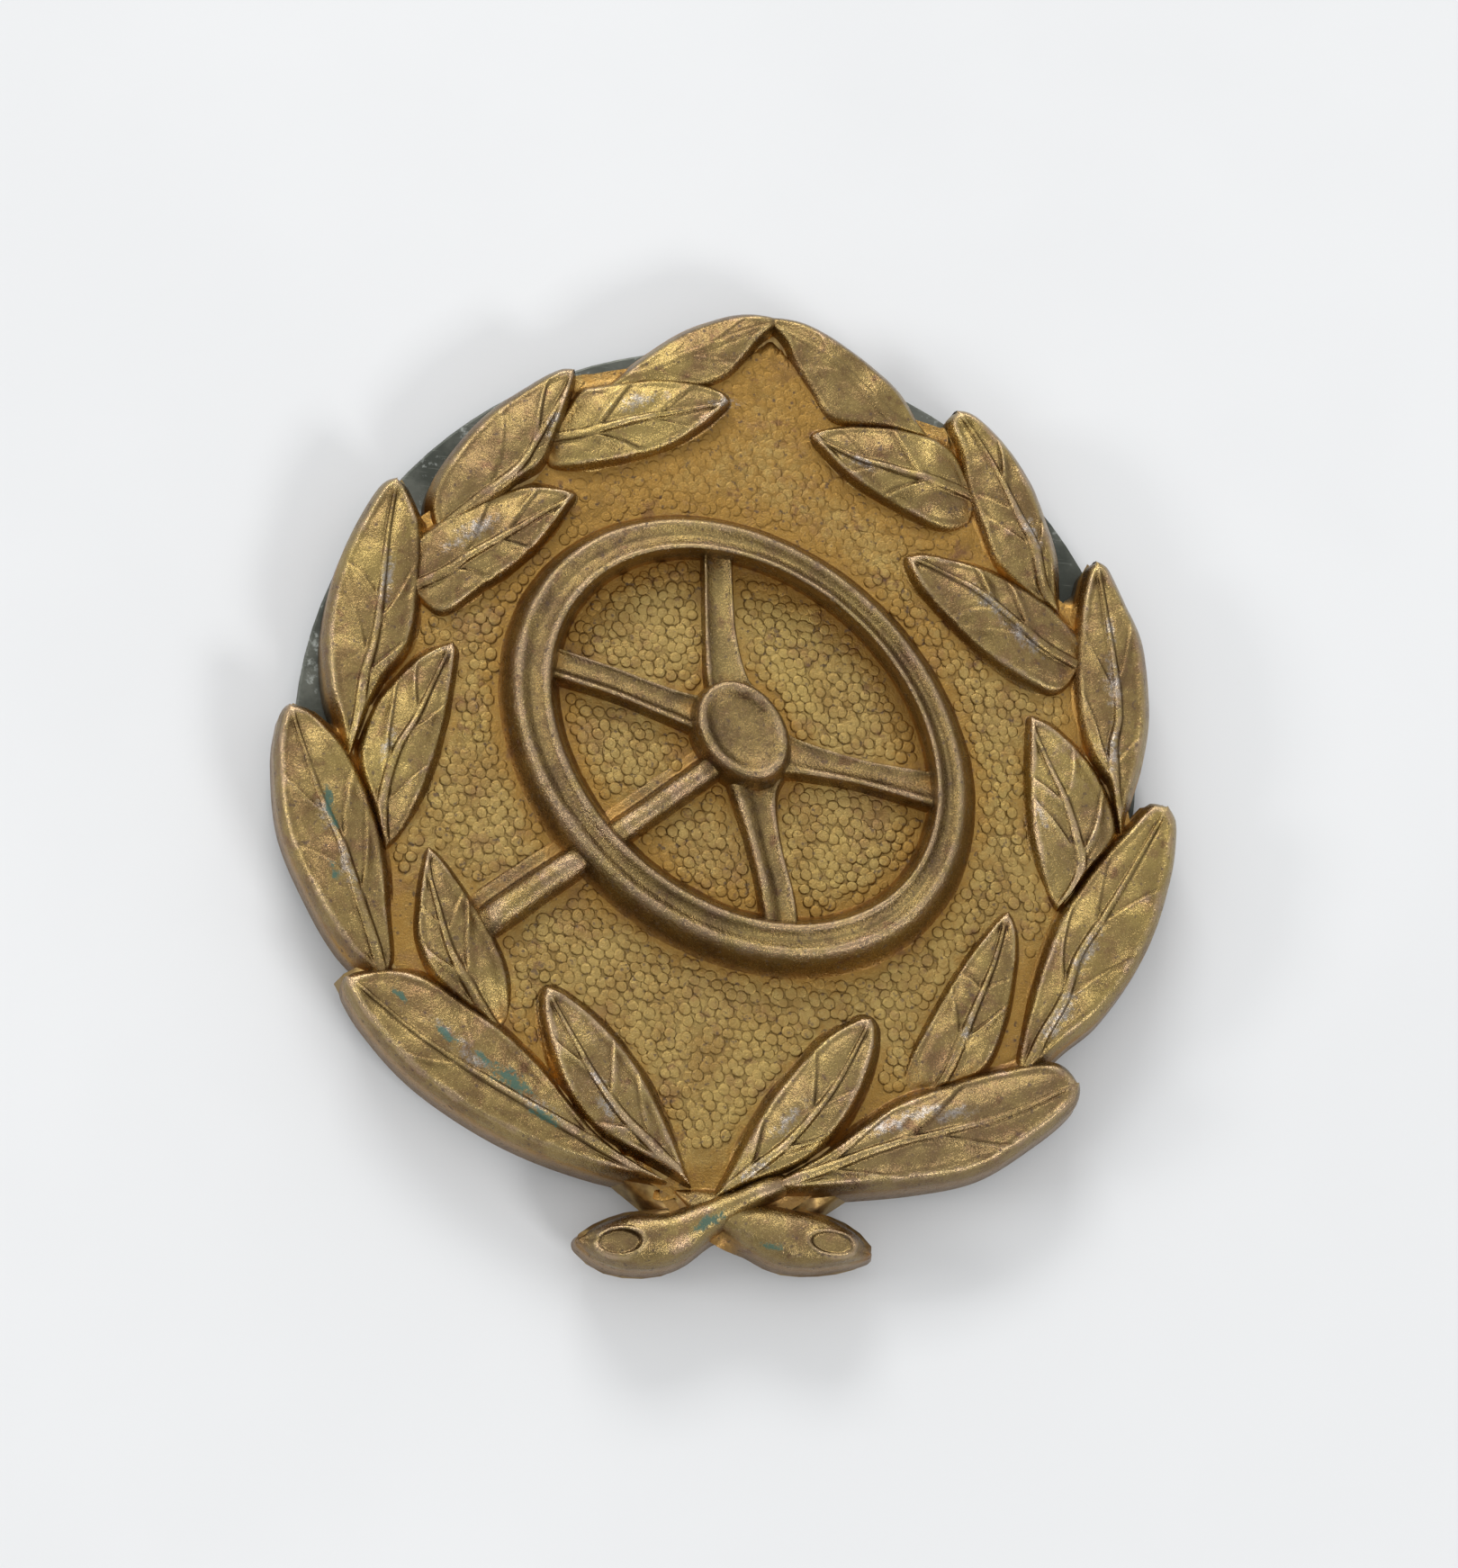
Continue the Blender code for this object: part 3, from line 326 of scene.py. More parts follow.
def leafPiece(name, leaf, seed):
    form = leafForm
    pick = random.Random(int(seed * 10) + 4)
    steps = form["steps"]
    outer = "Outer" in name
    carving = leaf.get("carving", 1)
    rimSide, rib, wheelSide, awayRim, awayWheel = bladeLines(leaf, steps, form["rounding"])
    rimSide = rimSide + awayRim * wall["edgeGrow"] * outer
    length = np.linalg.norm(np.diff(rib, axis=0), axis=1).sum()
    s = np.linspace(0, 1, steps + 1)[:, None]
    t, side, xy = bladeGrid(rimSide, rib, wheelSide, form["across"])
    width = np.linalg.norm(side - rib[:, None], axis=2)
    fromRib, fromEdge = abs(t) * width, (1 - abs(t)) * width
    ends = ease(0.0, 0.1, s) * (1 - ease(0.9, 0.98, s))
    z = form["edgeHeight"] + leaf["lift"] - form["tuck"] * (1 - ease(0.0, 0.35, s))
    z = z + form["crown"] * (1 - 0.6 * s ** 4) * (1 - abs(t) ** 2.7)
    beadAt = 0.3 + 0.12 * (1 - s) * outer * (t < 0)
    z += form["bead"] * bump(fromEdge - beadAt, 0.2) * ends
    z -= form["shoulder"] * np.exp(-fromEdge / 0.15)
    z += form["ribRise"] * carving * bump(fromRib, 0.2) * (1 - ease(0.5, 0.8, s)) * ease(0, 0.1, s)

    # sunk panels between the midrib, the side veins and the rolled edge
    ribHalf = form["ribHalf"] * (1.05 - 0.85 * ease(0, 0.9, s))
    panel = ease(0, 0.12, fromRib - ribHalf) * ease(-0.05, 0.35, fromEdge - beadAt) * ends
    # groove: the grooves cut in, which the material also darkens as painted shade
    groove = 0.6 * bump(fromRib - ribHalf - 0.07, 0.06) * ends * ease(0.3, 0.6, fromEdge)
    for veinSide, onSide in (("rim", t < 0), ("wheel", t > 0)):
        for start in form["veins"][veinSide]:
            lean, force = pick.uniform(1.1, 2.2), pick.uniform(0.35, 1.0)
            curve = pick.uniform(-0.12, 0.12)
            run = start + pick.uniform(-0.06, 0.06) + curve * abs(t) ** 2
            off = ((s - run) * length - lean * fromRib) / math.hypot(1, lean)
            band = ease(-0.45, -0.06, off) * (1 - ease(0.05, 0.12, off)) * onSide
            panel = panel * (1 - band * force)
            shown = force * onSide * ease(0, 0.15, fromRib - ribHalf) * ease(0.2, 0.6, fromEdge)
            groove = np.maximum(groove, bump(off - 0.15, 0.06) * shown * ends)
            z += form["veinRise"] * carving * bump(off, 0.12) * shown * ends
    groove = groove * carving
    z -= panel * carving * (form["panelDepth"]
                            + form["panelTilt"] * np.exp(-(fromRib - ribHalf) / 0.55))
    z -= form["grooveDepth"] * groove
    towardTip = ease(0.55, 0.75, s) * (1 - ease(0.88, 0.95, s))
    z -= form["tipCrease"] * carving * bump(fromRib, 0.12) * towardTip
    z += undulation(xy, seed, *form["sway"]) * ends + undulation(xy, seed, *form["ripple"])
    top = np.dstack([xy, z])

    sAlong = s[:, 0]
    rimDeep = ease(0.03, 0.1, sAlong) * outer
    wheelDeep = ease(0.82, 0.9, sAlong) * outer
    strikeBlade(name, top, groove, skirt(top[:, 0], awayRim, rimDeep),
                skirt(top[:, -1], awayWheel, wheelDeep))


for seed, (name, leaf) in enumerate(leaves.items()):
    leafPiece(name, leaf, 3.7 * seed)
print("wreath:", len(leaves), "leaves")

stemForm = {"steps": 130, "across": 22, "rounding": 4, "foot": 2.7, "eyeRim": 0.08,
            "sway": (1.4, 0.09), "ripple": (0.5, 0.02),
            "eyes": {"stemOver": ((-3.35, -21.9), (0.95, 0.55), 0.12),
                     "stemUnder": ((6.2, -20.95), (0.95, 0.48), -0.05)}}


def stemPiece(name, stem, seed):
    form = stemForm
    steps = form["steps"]
    rimSide, rib, wheelSide, awayRim, awayWheel = bladeLines(stem, steps, form["rounding"])
    s = np.linspace(0, 1, steps + 1)[:, None]
    t, side, xy = bladeGrid(rimSide, rib, wheelSide, form["across"])
    point = 1 - ease(0.0, 0.16, s)
    crown = stem["crown"] - 1.4 * point - 0.9 * ease(0.75, 1.0, s)
    foot = form["foot"] - 0.5 * point
    z = foot + (crown - foot) * np.sqrt(1 - 0.9 * abs(t) ** 2.4)
    centre, axes, tilt = form["eyes"][name]
    dx, dy = xy[..., 0] - centre[0], xy[..., 1] - centre[1]
    u = (dx * math.cos(tilt) + dy * math.sin(tilt)) / axes[0]
    v = (dy * math.cos(tilt) - dx * math.sin(tilt)) / axes[1]
    r = np.sqrt(u * u + v * v)
    eyeLevel = z[r < 1.1].min()
    inside = 1 - ease(0.86, 1.02, r)
    z = z * (1 - inside) + (0.35 * z + 0.65 * eyeLevel) * inside
    z += form["eyeRim"] * bump(r - 1.18, 0.13)
    # the groove round the eye is only painted dark, as painted shade at its edge
    groove = bump(r - 0.98, 0.07)
    z += undulation(xy, seed, *form["sway"]) + undulation(xy, seed, *form["ripple"])
    top = np.dstack([xy, z])
    deep = 1 - ease(0.55, 0.7, s[:, 0])
    strikeBlade(name, top, groove, skirt(top[:, 0], awayRim, deep),
                skirt(top[:, -1], awayWheel, deep))


for seed, (name, stem) in enumerate(stems.items()):
    stemPiece(name, stem, 90.3 + seed)
print("stems:", len(stems))

# Steering wheel: each loop is centre, half axes and height, from the outside in.
wheel = {
    "rimTilt": -39.0, "hubTilt": -50.0,
    "spokeSteps": 60, "spokeAcross": 44, "endHeight": 2.9,
    "rim": [((0.04, 1.82), (12.75, 10.2), 2.86), ((0.04, 1.82), (12.35, 9.8), 3.0),
            ((0.03, 1.84), (12.05, 9.48), 3.42), ((0.02, 1.86), (11.8, 9.22), 4.15),
            ((0.01, 1.88), (11.55, 8.97), 4.6), ((0.01, 1.9), (11.33, 8.76), 4.77),
            ((0.04, 1.9), (11.1, 8.54), 4.66), ((0.08, 1.9), (10.78, 8.3), 4.5),
            ((0.12, 1.87), (10.42, 8.02), 4.66), ((0.15, 1.85), (10.15, 7.8), 4.9),
            ((0.18, 1.9), (9.98, 7.62), 4.78), ((0.22, 2.0), (9.83, 7.46), 4.2),
            ((0.26, 2.15), (9.7, 7.34), 3.4), ((0.3, 2.3), (9.48, 7.12), 3.02),
            ((0.3, 2.3), (9.1, 6.8), 2.86)],
    "hub": [((0.1, 2.1), (3.2, 2.5), 2.86), ((0.1, 2.1), (2.9, 2.22), 3.1),
            ((0.1, 2.12), (2.7, 2.04), 4.1), ((0.1, 2.14), (2.52, 1.88), 4.72),
            ((0.08, 2.15), (2.3, 1.68), 4.97), ((0.05, 2.15), (2.02, 1.43), 4.88),
            ((0.03, 2.17), (1.55, 1.1), 4.6), ((0.0, 2.2), (0.9, 0.65), 4.52),
            ((0.0, 2.2), (0.02, 0.02), 4.5)],
    "spokes": {
        "spokeUp": {
            "left": [(-1.4, 3.5), (-1.68, 4.4), (-1.82, 5.15), (-2.05, 7.15), (-2.35, 10.15),
                     (-2.42, 10.9)],
            "right": [(1.5, 3.8), (0.68, 4.4), (0.12, 5.15), (-0.52, 7.15), (-0.95, 10.15),
                      (-1.05, 10.9)],
            "profile": [(-1.25, 2.86), (-1.08, 3.15), (-0.97, 3.7), (-0.84, 3.92),
                        (-0.62, 3.78), (-0.3, 3.66), (0, 3.63), (0.3, 3.66), (0.62, 3.78),
                        (0.84, 3.92), (0.97, 3.7), (1.08, 3.15), (1.25, 2.86)]},
        "spokeRight": {
            "left": [(1.6, 3.2), (2.35, 2.5), (4.05, 2.0), (6.05, 1.65), (8.55, 1.5),
                     (9.7, 1.5)],
            "right": [(1.6, -0.1), (2.35, 0.38), (4.05, 0.38), (6.05, 0.22), (8.95, -0.33),
                      (9.8, -0.55)],
            "profile": [(-1.25, 2.86), (-1.08, 3.1), (-0.98, 3.55), (-0.88, 3.7),
                        (-0.6, 3.58), (-0.2, 3.6), (0.2, 3.75), (0.55, 3.98), (0.78, 3.98),
                        (0.95, 3.6), (1.08, 3.1), (1.25, 2.86)]},
        "spokeLeft": {
            "left": [(-1.3, 1.6), (-2.25, 2.05), (-3.95, 2.6), (-5.95, 3.2), (-8.6, 3.75),
                     (-9.45, 4.0)],
            "right": [(-1.2, 4.0), (-2.15, 3.88), (-3.95, 4.22), (-5.9, 4.75), (-8.3, 5.3),
                      (-9.25, 5.55)],
            "profile": [(-1.25, 2.86), (-1.08, 3.1), (-0.95, 3.6), (-0.78, 3.98),
                        (-0.55, 3.95), (-0.2, 3.68), (0.3, 3.55), (0.65, 3.6), (0.88, 3.75),
                        (0.98, 3.55), (1.08, 3.1), (1.25, 2.86)]},
        "spokeDown": {
            "left": [(2.4, 0.6), (2.05, -0.65), (2.47, -2.85), (3.17, -4.85), (3.57, -6.6),
                     (3.75, -7.35)],
            "right": [(-0.6, 0.3), (-0.12, -0.65), (0.83, -3.05), (1.43, -4.85), (1.83, -6.6),
                      (1.98, -7.35)],
            "profile": [(-1.25, 2.86), (-1.08, 3.15), (-0.95, 3.68), (-0.8, 3.88),
                        (-0.5, 3.7), (-0.1, 3.66), (0.3, 3.9), (0.6, 4.0), (0.82, 3.85),
                        (0.97, 3.5), (1.08, 3.1), (1.25, 2.86)]},
        "column": {
            "endFade": 0.8,
            "left": [(0.4, 1.1), (-0.63, 0.02), (-4.33, -3.28), (-6.75, -5.45),
                     (-10.05, -8.35), (-10.8, -9.05)],
            "right": [(-0.9, 2.4), (-2.17, 1.28), (-5.87, -2.02), (-8.72, -4.17),
                      (-11.1, -6.2), (-12.0, -7.0)],
            "profile": [(-1.2, 2.86), (-1.05, 3.0), (-0.97, 3.4), (-0.86, 3.8), (-0.62, 4.1),
                        (-0.25, 4.16), (0.1, 3.98), (0.3, 3.6), (0.42, 3.3), (0.7, 3.25),
                        (0.92, 3.2), (1.05, 3.0), (1.2, 2.86)]}},
}


def ovalPiece(name, loops, tilt, count, fine):
    # loops are smoothed from the outside in, then drawn round the oval
    table = smoothLine([(*centre, *axes, z) for centre, axes, z in loops], fine)[::-1]
    angle = np.linspace(0, 2 * math.pi, count + 1)[:, None]
    lie = math.radians(tilt)
    a, b = table[:, 2] * np.cos(angle), table[:, 3] * np.sin(angle)
    x = table[:, 0] + a * math.cos(lie) - b * math.sin(lie)
    y = table[:, 1] + a * math.sin(lie) + b * math.cos(lie)
    rows = np.dstack([x, y, np.broadcast_to(table[:, 4], x.shape)])
    rows[:, :, 2] += undulation(rows[..., :2], 5.1, 1.6, 0.05)
    rows[-1] = rows[0]
    return gridPiece(name, rows, merge=True)


def spokePiece(name, spoke, seed):
    steps = wheel["spokeSteps"]
    left, right = (smoothLine(spoke[side], steps) for side in ("left", "right"))
    across = smoothLine(spoke["profile"], wheel["spokeAcross"])
    t = (across[None, :, 0] + 1) / 2
    xy = left[:, None] + (right - left)[:, None] * t[..., None]
    z = np.broadcast_to(across[None, :, 1], xy.shape[:2])
    z = z + undulation(xy, seed, 1.2, 0.05)
    fade = spoke.get("endFade", 0) * ease(0.9, 1.0, np.linspace(0, 1, steps + 1))[:, None]
    z = z + (wheel["endHeight"] - z) * fade
    rows, groove = facingUp(np.dstack([xy, z]), np.zeros(z.shape))
    return gridPiece(name, rows, groove)


reliefPieces.append(ovalPiece("wheelRim", wheel["rim"], wheel["rimTilt"], 300, 40))
reliefPieces.append(ovalPiece("wheelHub", wheel["hub"], wheel["hubTilt"], 120, 30))
for seed, (name, spoke) in enumerate(wheel["spokes"].items()):
    reliefPieces.append(spokePiece(name, spoke, 70.1 + seed))
print("wheel: rim, hub,", len(wheel["spokes"]), "bars")

# The field, with the small webs of ground that show in the notches between leaf tips.
field = {"height": 3.0, "dome": 0.2, "domeCentre": (0.0, 1.0), "domeRadius": 17.0,
         "pitch": 0.3, "seat": 1.35,
         "outline": [(-3.6, -18.9), (-16.2, -10.5), (-18.5, 0.7), (-15.2, 11.3),
                     (-8.3, 18.1), (-1.0, 21.6), (0.0, 22.3), (1.0, 21.6), (8.2, 18.0),
                     (14.5, 11.2), (18.4, 0.9), (15.8, -11.2), (6.0, -18.8), (5.45, -19.1),
                     (5.1, -19.45), (5.0, -19.9), (1.4, -20.85), (-2.2, -20.5),
                     (-2.05, -20.15), (-2.02, -19.8), (-2.2, -19.45), (-2.6, -19.15)],
         "sideSteps": 24, "rollFrom": (14, 16.5),
         "roll": 0.95, "rollWidth": 1.0, "lean": 0.12,
         "dips": [((-1.9, -19.75), 1.3, 0.5), ((5.2, -19.6), 1.2, 0.35)]}


def fieldHeight(x, y):
    cx, cy = field["domeCentre"]
    r2 = ((x - cx) ** 2 + (y - cy) ** 2) / field["domeRadius"] ** 2
    return field["height"] + field["dome"] * np.maximum(0, 1 - r2)


def fieldPiece():
    ring = [Vector(p) for p in field["outline"]]
    count = field["sideSteps"]
    edge = [a.lerp(b, k / count) for a, b in zip(ring, ring[1:] + ring[:1])
            for k in range(count)]
    pitch = field["pitch"]
    spots = [Vector((pitch * (i + 0.5 * (j % 2)), 0.866 * pitch * j))
             for i in range(-75, 76) for j in range(-90, 90)]
    loop = [(i, (i + 1) % len(edge)) for i in range(len(edge))]
    flat, _, faces, _, _, _ = geometry.delaunay_2d_cdt(edge + spots, loop,
                                                       [list(range(len(edge)))], 1, 1e-4)
    used = sorted({v for face in faces for v in face})
    place = {v: k for k, v in enumerate(used)}
    faces = [tuple(place[v] for v in face) for face in faces]
    xy = np.array([tuple(flat[v]) for v in used])
    border = np.array([tuple(p) for p in edge])
    inset = np.array([np.hypot(*(border - p).T).min() for p in xy])
    z = fieldHeight(xy[:, 0], xy[:, 1]) + undulation(xy, 12.5, 0.9, 0.035)
    z -= (field["roll"] * (1 - ease(-0.3, 1.0, inset / field["rollWidth"]))
          * ease(*field["rollFrom"], np.hypot(*xy.T)))
    for centre, width, depth in field["dips"]:
        z -= depth * bump(np.hypot(*(xy - centre).T), width)
    verts = [tuple(v) for v in np.column_stack([xy, z]) * mm]
    rim = {(a, b) for face in faces for a, b in zip(face, face[1:] + face[:1])}
    rim = [(a, b) for a, b in rim if (b, a) not in rim]
    under = {}
    for v in sorted({v for pair in rim for v in pair}):
        under[v] = len(verts)
        out = xy[v] * (1 + field["lean"] / np.hypot(*xy[v]))
        verts.append((out[0] * mm, out[1] * mm, field["seat"] * mm))
    faces += [(b, a, under[a], under[b]) for a, b in rim]
    mesh = bpy.data.meshes.new("field")
    mesh.from_pydata(verts, [], faces)
    piece = bpy.data.objects.new("field", mesh)
    bpy.context.scene.collection.objects.link(piece)
    mesh.shade_smooth()
    mesh.set_sharp_from_angle(angle=math.radians(50))
    return piece


fieldSheet = fieldPiece()
print("field sheet")

# Heights of the whole relief on a fine grid: it says where pebbles fit, and what is
# a crest or a recess.
relief = {"cell": 0.15, "low": (-23.0, -25.0), "count": (307, 334)}


def cellOf(points):
    low, cell = relief["low"], relief["cell"]
    return (points[:, 0] - low[0]) / cell, (points[:, 1] - low[1]) / cell


def heightGrid(pieces):
    grid = np.zeros(relief["count"][::-1])
    for piece in pieces:
        points = places(piece)
        i, j = cellOf(points)
        np.maximum.at(grid, (np.rint(j).astype(int), np.rint(i).astype(int)), points[:, 2])
    return grid


def spread(grid, reach):
    # the highest value within reach cells
    best = grid.copy()
    for dy in range(-reach, reach + 1):
        for dx in range(-reach, reach + 1):
            if dx * dx + dy * dy <= reach * reach + 0.5:
                best = np.maximum(best, np.roll(grid, (dy, dx), (0, 1)))
    return best


def blurred(grid, sigma):
    reach = int(3 * sigma / relief["cell"]) + 1
    kernel = np.exp(-0.5 * (np.arange(-reach, reach + 1) * relief["cell"] / sigma) ** 2)
    kernel /= kernel.sum()
    for axis in (0, 1):
        grid = np.apply_along_axis(lambda row: np.convolve(row, kernel, "same"), axis, grid)
    return grid


def readGrid(grid, points):
    i, j = cellOf(points)
    i, j = np.clip(i, 0, grid.shape[1] - 2), np.clip(j, 0, grid.shape[0] - 2)
    a, b = i.astype(int), j.astype(int)
    u, v = i - a, j - b
    return ((grid[b, a] * (1 - u) + grid[b, a + 1] * u) * (1 - v)
            + (grid[b + 1, a] * (1 - u) + grid[b + 1, a + 1] * u) * v)


raised = heightGrid(reliefPieces)
raised = np.where(raised == 0, spread(raised, 1), raised)
cellX = relief["low"][0] + relief["cell"] * np.arange(relief["count"][0])[None, :]
cellY = relief["low"][1] + relief["cell"] * np.arange(relief["count"][1])[:, None]
heights = np.maximum(raised, fieldHeight(cellX, cellY))
covered = (raised > fieldHeight(cellX, cellY) + 0.06).astype(float)

pebbles = {"pitch": 0.5, "jitter": 0.13, "radius": (0.27, 0.335), "height": 0.052,
           "lift": 0.038, "inset": (0.08, 0.24), "clear": 1, "reach": 21.3, "seed": 11,
           "bottom": -17, "top": 21, "notchRadius": 16, "notchSide": 5}


def onPlainGround(x, y):
    # beside the stems, under the top tips and in the side notches there are no pebbles
    inNotch = math.hypot(x, y) > pebbles["notchRadius"] and abs(x) > pebbles["notchSide"]
    return y < pebbles["bottom"] or y > pebbles["top"] or inNotch


def pebblePiece():
    # one low disc, copied over the open field with its own size, turn and height
    pick = random.Random(pebbles["seed"])
    bpy.ops.object.select_all(action="DESELECT")
    bpy.ops.mesh.primitive_circle_add(vertices=12, radius=1, fill_type="NGON")
    bpy.ops.object.mode_set(mode="EDIT")
    bpy.ops.mesh.select_all(action="SELECT")
    for thickness in pebbles["inset"]:
        bpy.ops.mesh.inset(thickness=thickness, use_even_offset=False)
    bpy.ops.mesh.poke()
    bpy.ops.object.mode_set(mode="OBJECT")
    piece = bpy.context.active_object
    disc = places(piece) * mm
    ringAt = np.hypot(disc[:, 0], disc[:, 1])
    faces = [tuple(p.vertices) for p in piece.data.polygons]
    rise = np.interp(ringAt, [0, 0.68, 0.92, 1.0], [1.0, 1.0, 0.7, -1.5])
    # a dark ring round each pebble's rim: painted shade where the pebble meets the field
    rimShade = np.interp(ringAt, [0, 0.68, 0.92, 1.0], [0.0, 0.0, 0.3, 1.0])
    near = spread(covered, pebbles["clear"])
    pitch, verts, polys, rimShades = pebbles["pitch"], [], [], []
    for i in range(-45, 46):
        for j in range(-55, 55):
            x = pitch * (i + 0.5 * (j % 2)) + pick.uniform(-1, 1) * pebbles["jitter"]
            y = 0.866 * pitch * j + pick.uniform(-1, 1) * pebbles["jitter"]
            radius, turn = pick.uniform(*pebbles["radius"]), pick.uniform(0, 6.28)
            lift, lean = pick.uniform(-1, 1) * pebbles["lift"], pick.uniform(0.92, 1.08)
            spot = np.array([[x, y]])
            outside = math.hypot(x, y - 1) > pebbles["reach"]
            if outside or readGrid(near, spot)[0] > 0.02 or onPlainGround(x, y):
                continue
            worn = 1 - 0.55 * ease(9.5, 12.0, y) - 0.2 * ease(14, 18, y) - 0.15 * pick.random()
            dx = radius * lean * (disc[:, 0] * math.cos(turn) - disc[:, 1] * math.sin(turn))
            dy = radius / lean * (disc[:, 0] * math.sin(turn) + disc[:, 1] * math.cos(turn))
            z = fieldHeight(x, y) + pebbles["height"] * worn * rise + lift * worn
            start = len(verts) * len(disc)
            verts.append(np.column_stack([x + dx, y + dy, z]))
            rimShades.append(rimShade * worn)
            polys += [tuple(v + start for v in face) for face in faces]
    bpy.data.objects.remove(piece)
    mesh = bpy.data.meshes.new("pebbles")
    mesh.from_pydata((np.vstack(verts) * mm).tolist(), [], polys)
    piece = bpy.data.objects.new("pebbles", mesh)
    bpy.context.scene.collection.objects.link(piece)
    mesh.shade_smooth()
    setAttribute(piece, "groove", np.concatenate(rimShades))
    print("pebbles:", len(verts))
    return piece


pebbleField = pebblePiece()

# Places on the badge where the metal is rubbed silvery, or has gone green: x, y, radius.
patches = {
    "silver": [(10.0, -14.6, 0.7), (11.3, -14.5, 0.6), (8.4, -15.3, 0.8), (3.8, -15.6, 0.7),
               (2.5, -18.0, 0.6), (-10.6, -14.3, 0.7), (-7.6, -16.2, 0.7), (-11.9, -13.2, 0.6),
               (-5.0, -14.7, 0.5), (-4.4, -16.0, 0.6), (15.8, -9.4, 0.9), (16.8, -6.4, 0.8),
               (17.4, 3.4, 0.7), (17.2, 6.5, 0.8), (16.9, 9.2, 0.5), (-16.8, 7.6, 0.7),
               (-13.2, 10.3, 0.9), (-6.0, 17.6, 0.8), (12.8, 13.5, 0.7), (11.3, 9.6, 0.8),
               (12.7, 8.3, 0.7), (-17.2, -6.2, 0.7), (-18.4, -3.9, 0.6), (14.4, -0.2, 0.5),
               (-9.9, 16.0, 0.5), (4.6, 15.9, 0.5), (-2.0, 18.2, 0.5), (-16.0, -0.2, 0.5),
               (11.6, -10.6, 0.5)],
    "verdigris": [(-9.2, -14.9, 0.75), (-8.5, -15.4, 0.5), (-7.3, -16.6, 0.4),
                  (-12.1, -13.3, 0.45), (-14.3, -11.7, 0.3), (-18.4, -2.9, 0.45),
                  (-18.2, -3.8, 0.35), (-17.9, -6.2, 0.35), (0.6, -20.6, 0.5),
                  (3.5, -21.4, 0.35), (-10.3, -14.2, 0.3)]}


ribPlaces, ribWays = [], []
for leaf in list(leaves.values()) + list(stems.values()):
    ribLine = smoothLine([leaf["base"]] + leaf["rib"] + [leaf["tip"]], 40)
    ribPlaces.append(ribLine)
    ribWays.append(np.gradient(ribLine, axis=0))
ribPlaces, ribWays = np.vstack(ribPlaces), np.vstack(ribWays)


def spotValue(points, spots):
    # long soft spots that lie along the nearest midrib
    value = np.zeros(len(points))
    for x, y, radius in spots:
        way = ribWays[np.hypot(*(ribPlaces - (x, y)).T).argmin()]
        way = way / np.hypot(*way)
        dx, dy = points[:, 0] - x, points[:, 1] - y
        along = (dx * way[0] + dy * way[1]) / (2.0 * radius)
        across = (dy * way[0] - dx * way[1]) / (0.6 * radius)
        value = np.maximum(value, np.exp(-along ** 2 - across ** 2))
    return value


narrow, wide = blurred(heights, 0.35), blurred(heights, 1.3)
# crest and recess say how far a place stands up or lies sunk; three leaves and the two stems are
# painted darker all over as painted shade, and so are the walls low down towards the seat
wear = {"crest": 0.16, "recess": 0.75, "darkerToTop": 0.5, "shadeBelow": (1.7, 2.8),
        "paintedShade": {"rightOuter1": 0.45, "rightInner1": 0.3, "leftOuter4": 0.25,
                   "stemOver": 0.4, "stemUnder": 0.4},
        # two leaves count as more raised all over, a painted highlight that makes them paler
        "paintedLight": {"leftInner1": 0.4, "rightInner3": 0.4}}
# each piece gets its crests and recesses, its painted shade and painted highlight, and its silver
# and green patches
for piece in reliefPieces + [fieldSheet, pebbleField]:
    points = places(piece)
    z = points[:, 2]
    above = np.clip((z - readGrid(narrow, points)) / wear["crest"], 0, 1)
    below = np.clip((readGrid(wide, points) - z) / wear["recess"], 0, 1)
    if piece is pebbleField:
        above *= 0.3
    # the field and the pebbles count as more sunk towards the top, so they come out darker there
    if piece in (pebbleField, fieldSheet):
        below = below + wear["darkerToTop"] * ease(8, 16, points[:, 1])
    # painted highlight: two whole leaves count as more raised, so they come out paler
    above = above + wear["paintedLight"].get(piece.name, 0)
    # painted shade: whole pieces marked darker, and the walls low down towards the seat
    paintedShade = wear["paintedShade"].get(piece.name, 0)
    setAttribute(piece, "crest", above)
    setAttribute(piece, "recess", below)
    setAttribute(piece, "edge", np.maximum(paintedShade, 1 - ease(*wear["shadeBelow"], z)))
    setAttribute(piece, "silver", spotValue(points, patches["silver"]))
    setAttribute(piece, "verdigris", spotValue(points, patches["verdigris"]))
    if piece is fieldSheet:
        # painted shade: the field sheet away from the relief, which shows in the gaps between the
        # pebbles, is darkened
        near = readGrid(blurred(spread(covered, 2), 0.25), points)
        setAttribute(piece, "groove", 0.25 * (1 - ease(0.1, 0.6, near)) * (z > 2.5))
    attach(piece, "badge")
print("wear and tarnish on", len(reliefPieces) + 2, "pieces")


rear = {"frontSize": 0.987, "seatSize": 1.009, "seatBelow": 1.5, "under": 0.36}


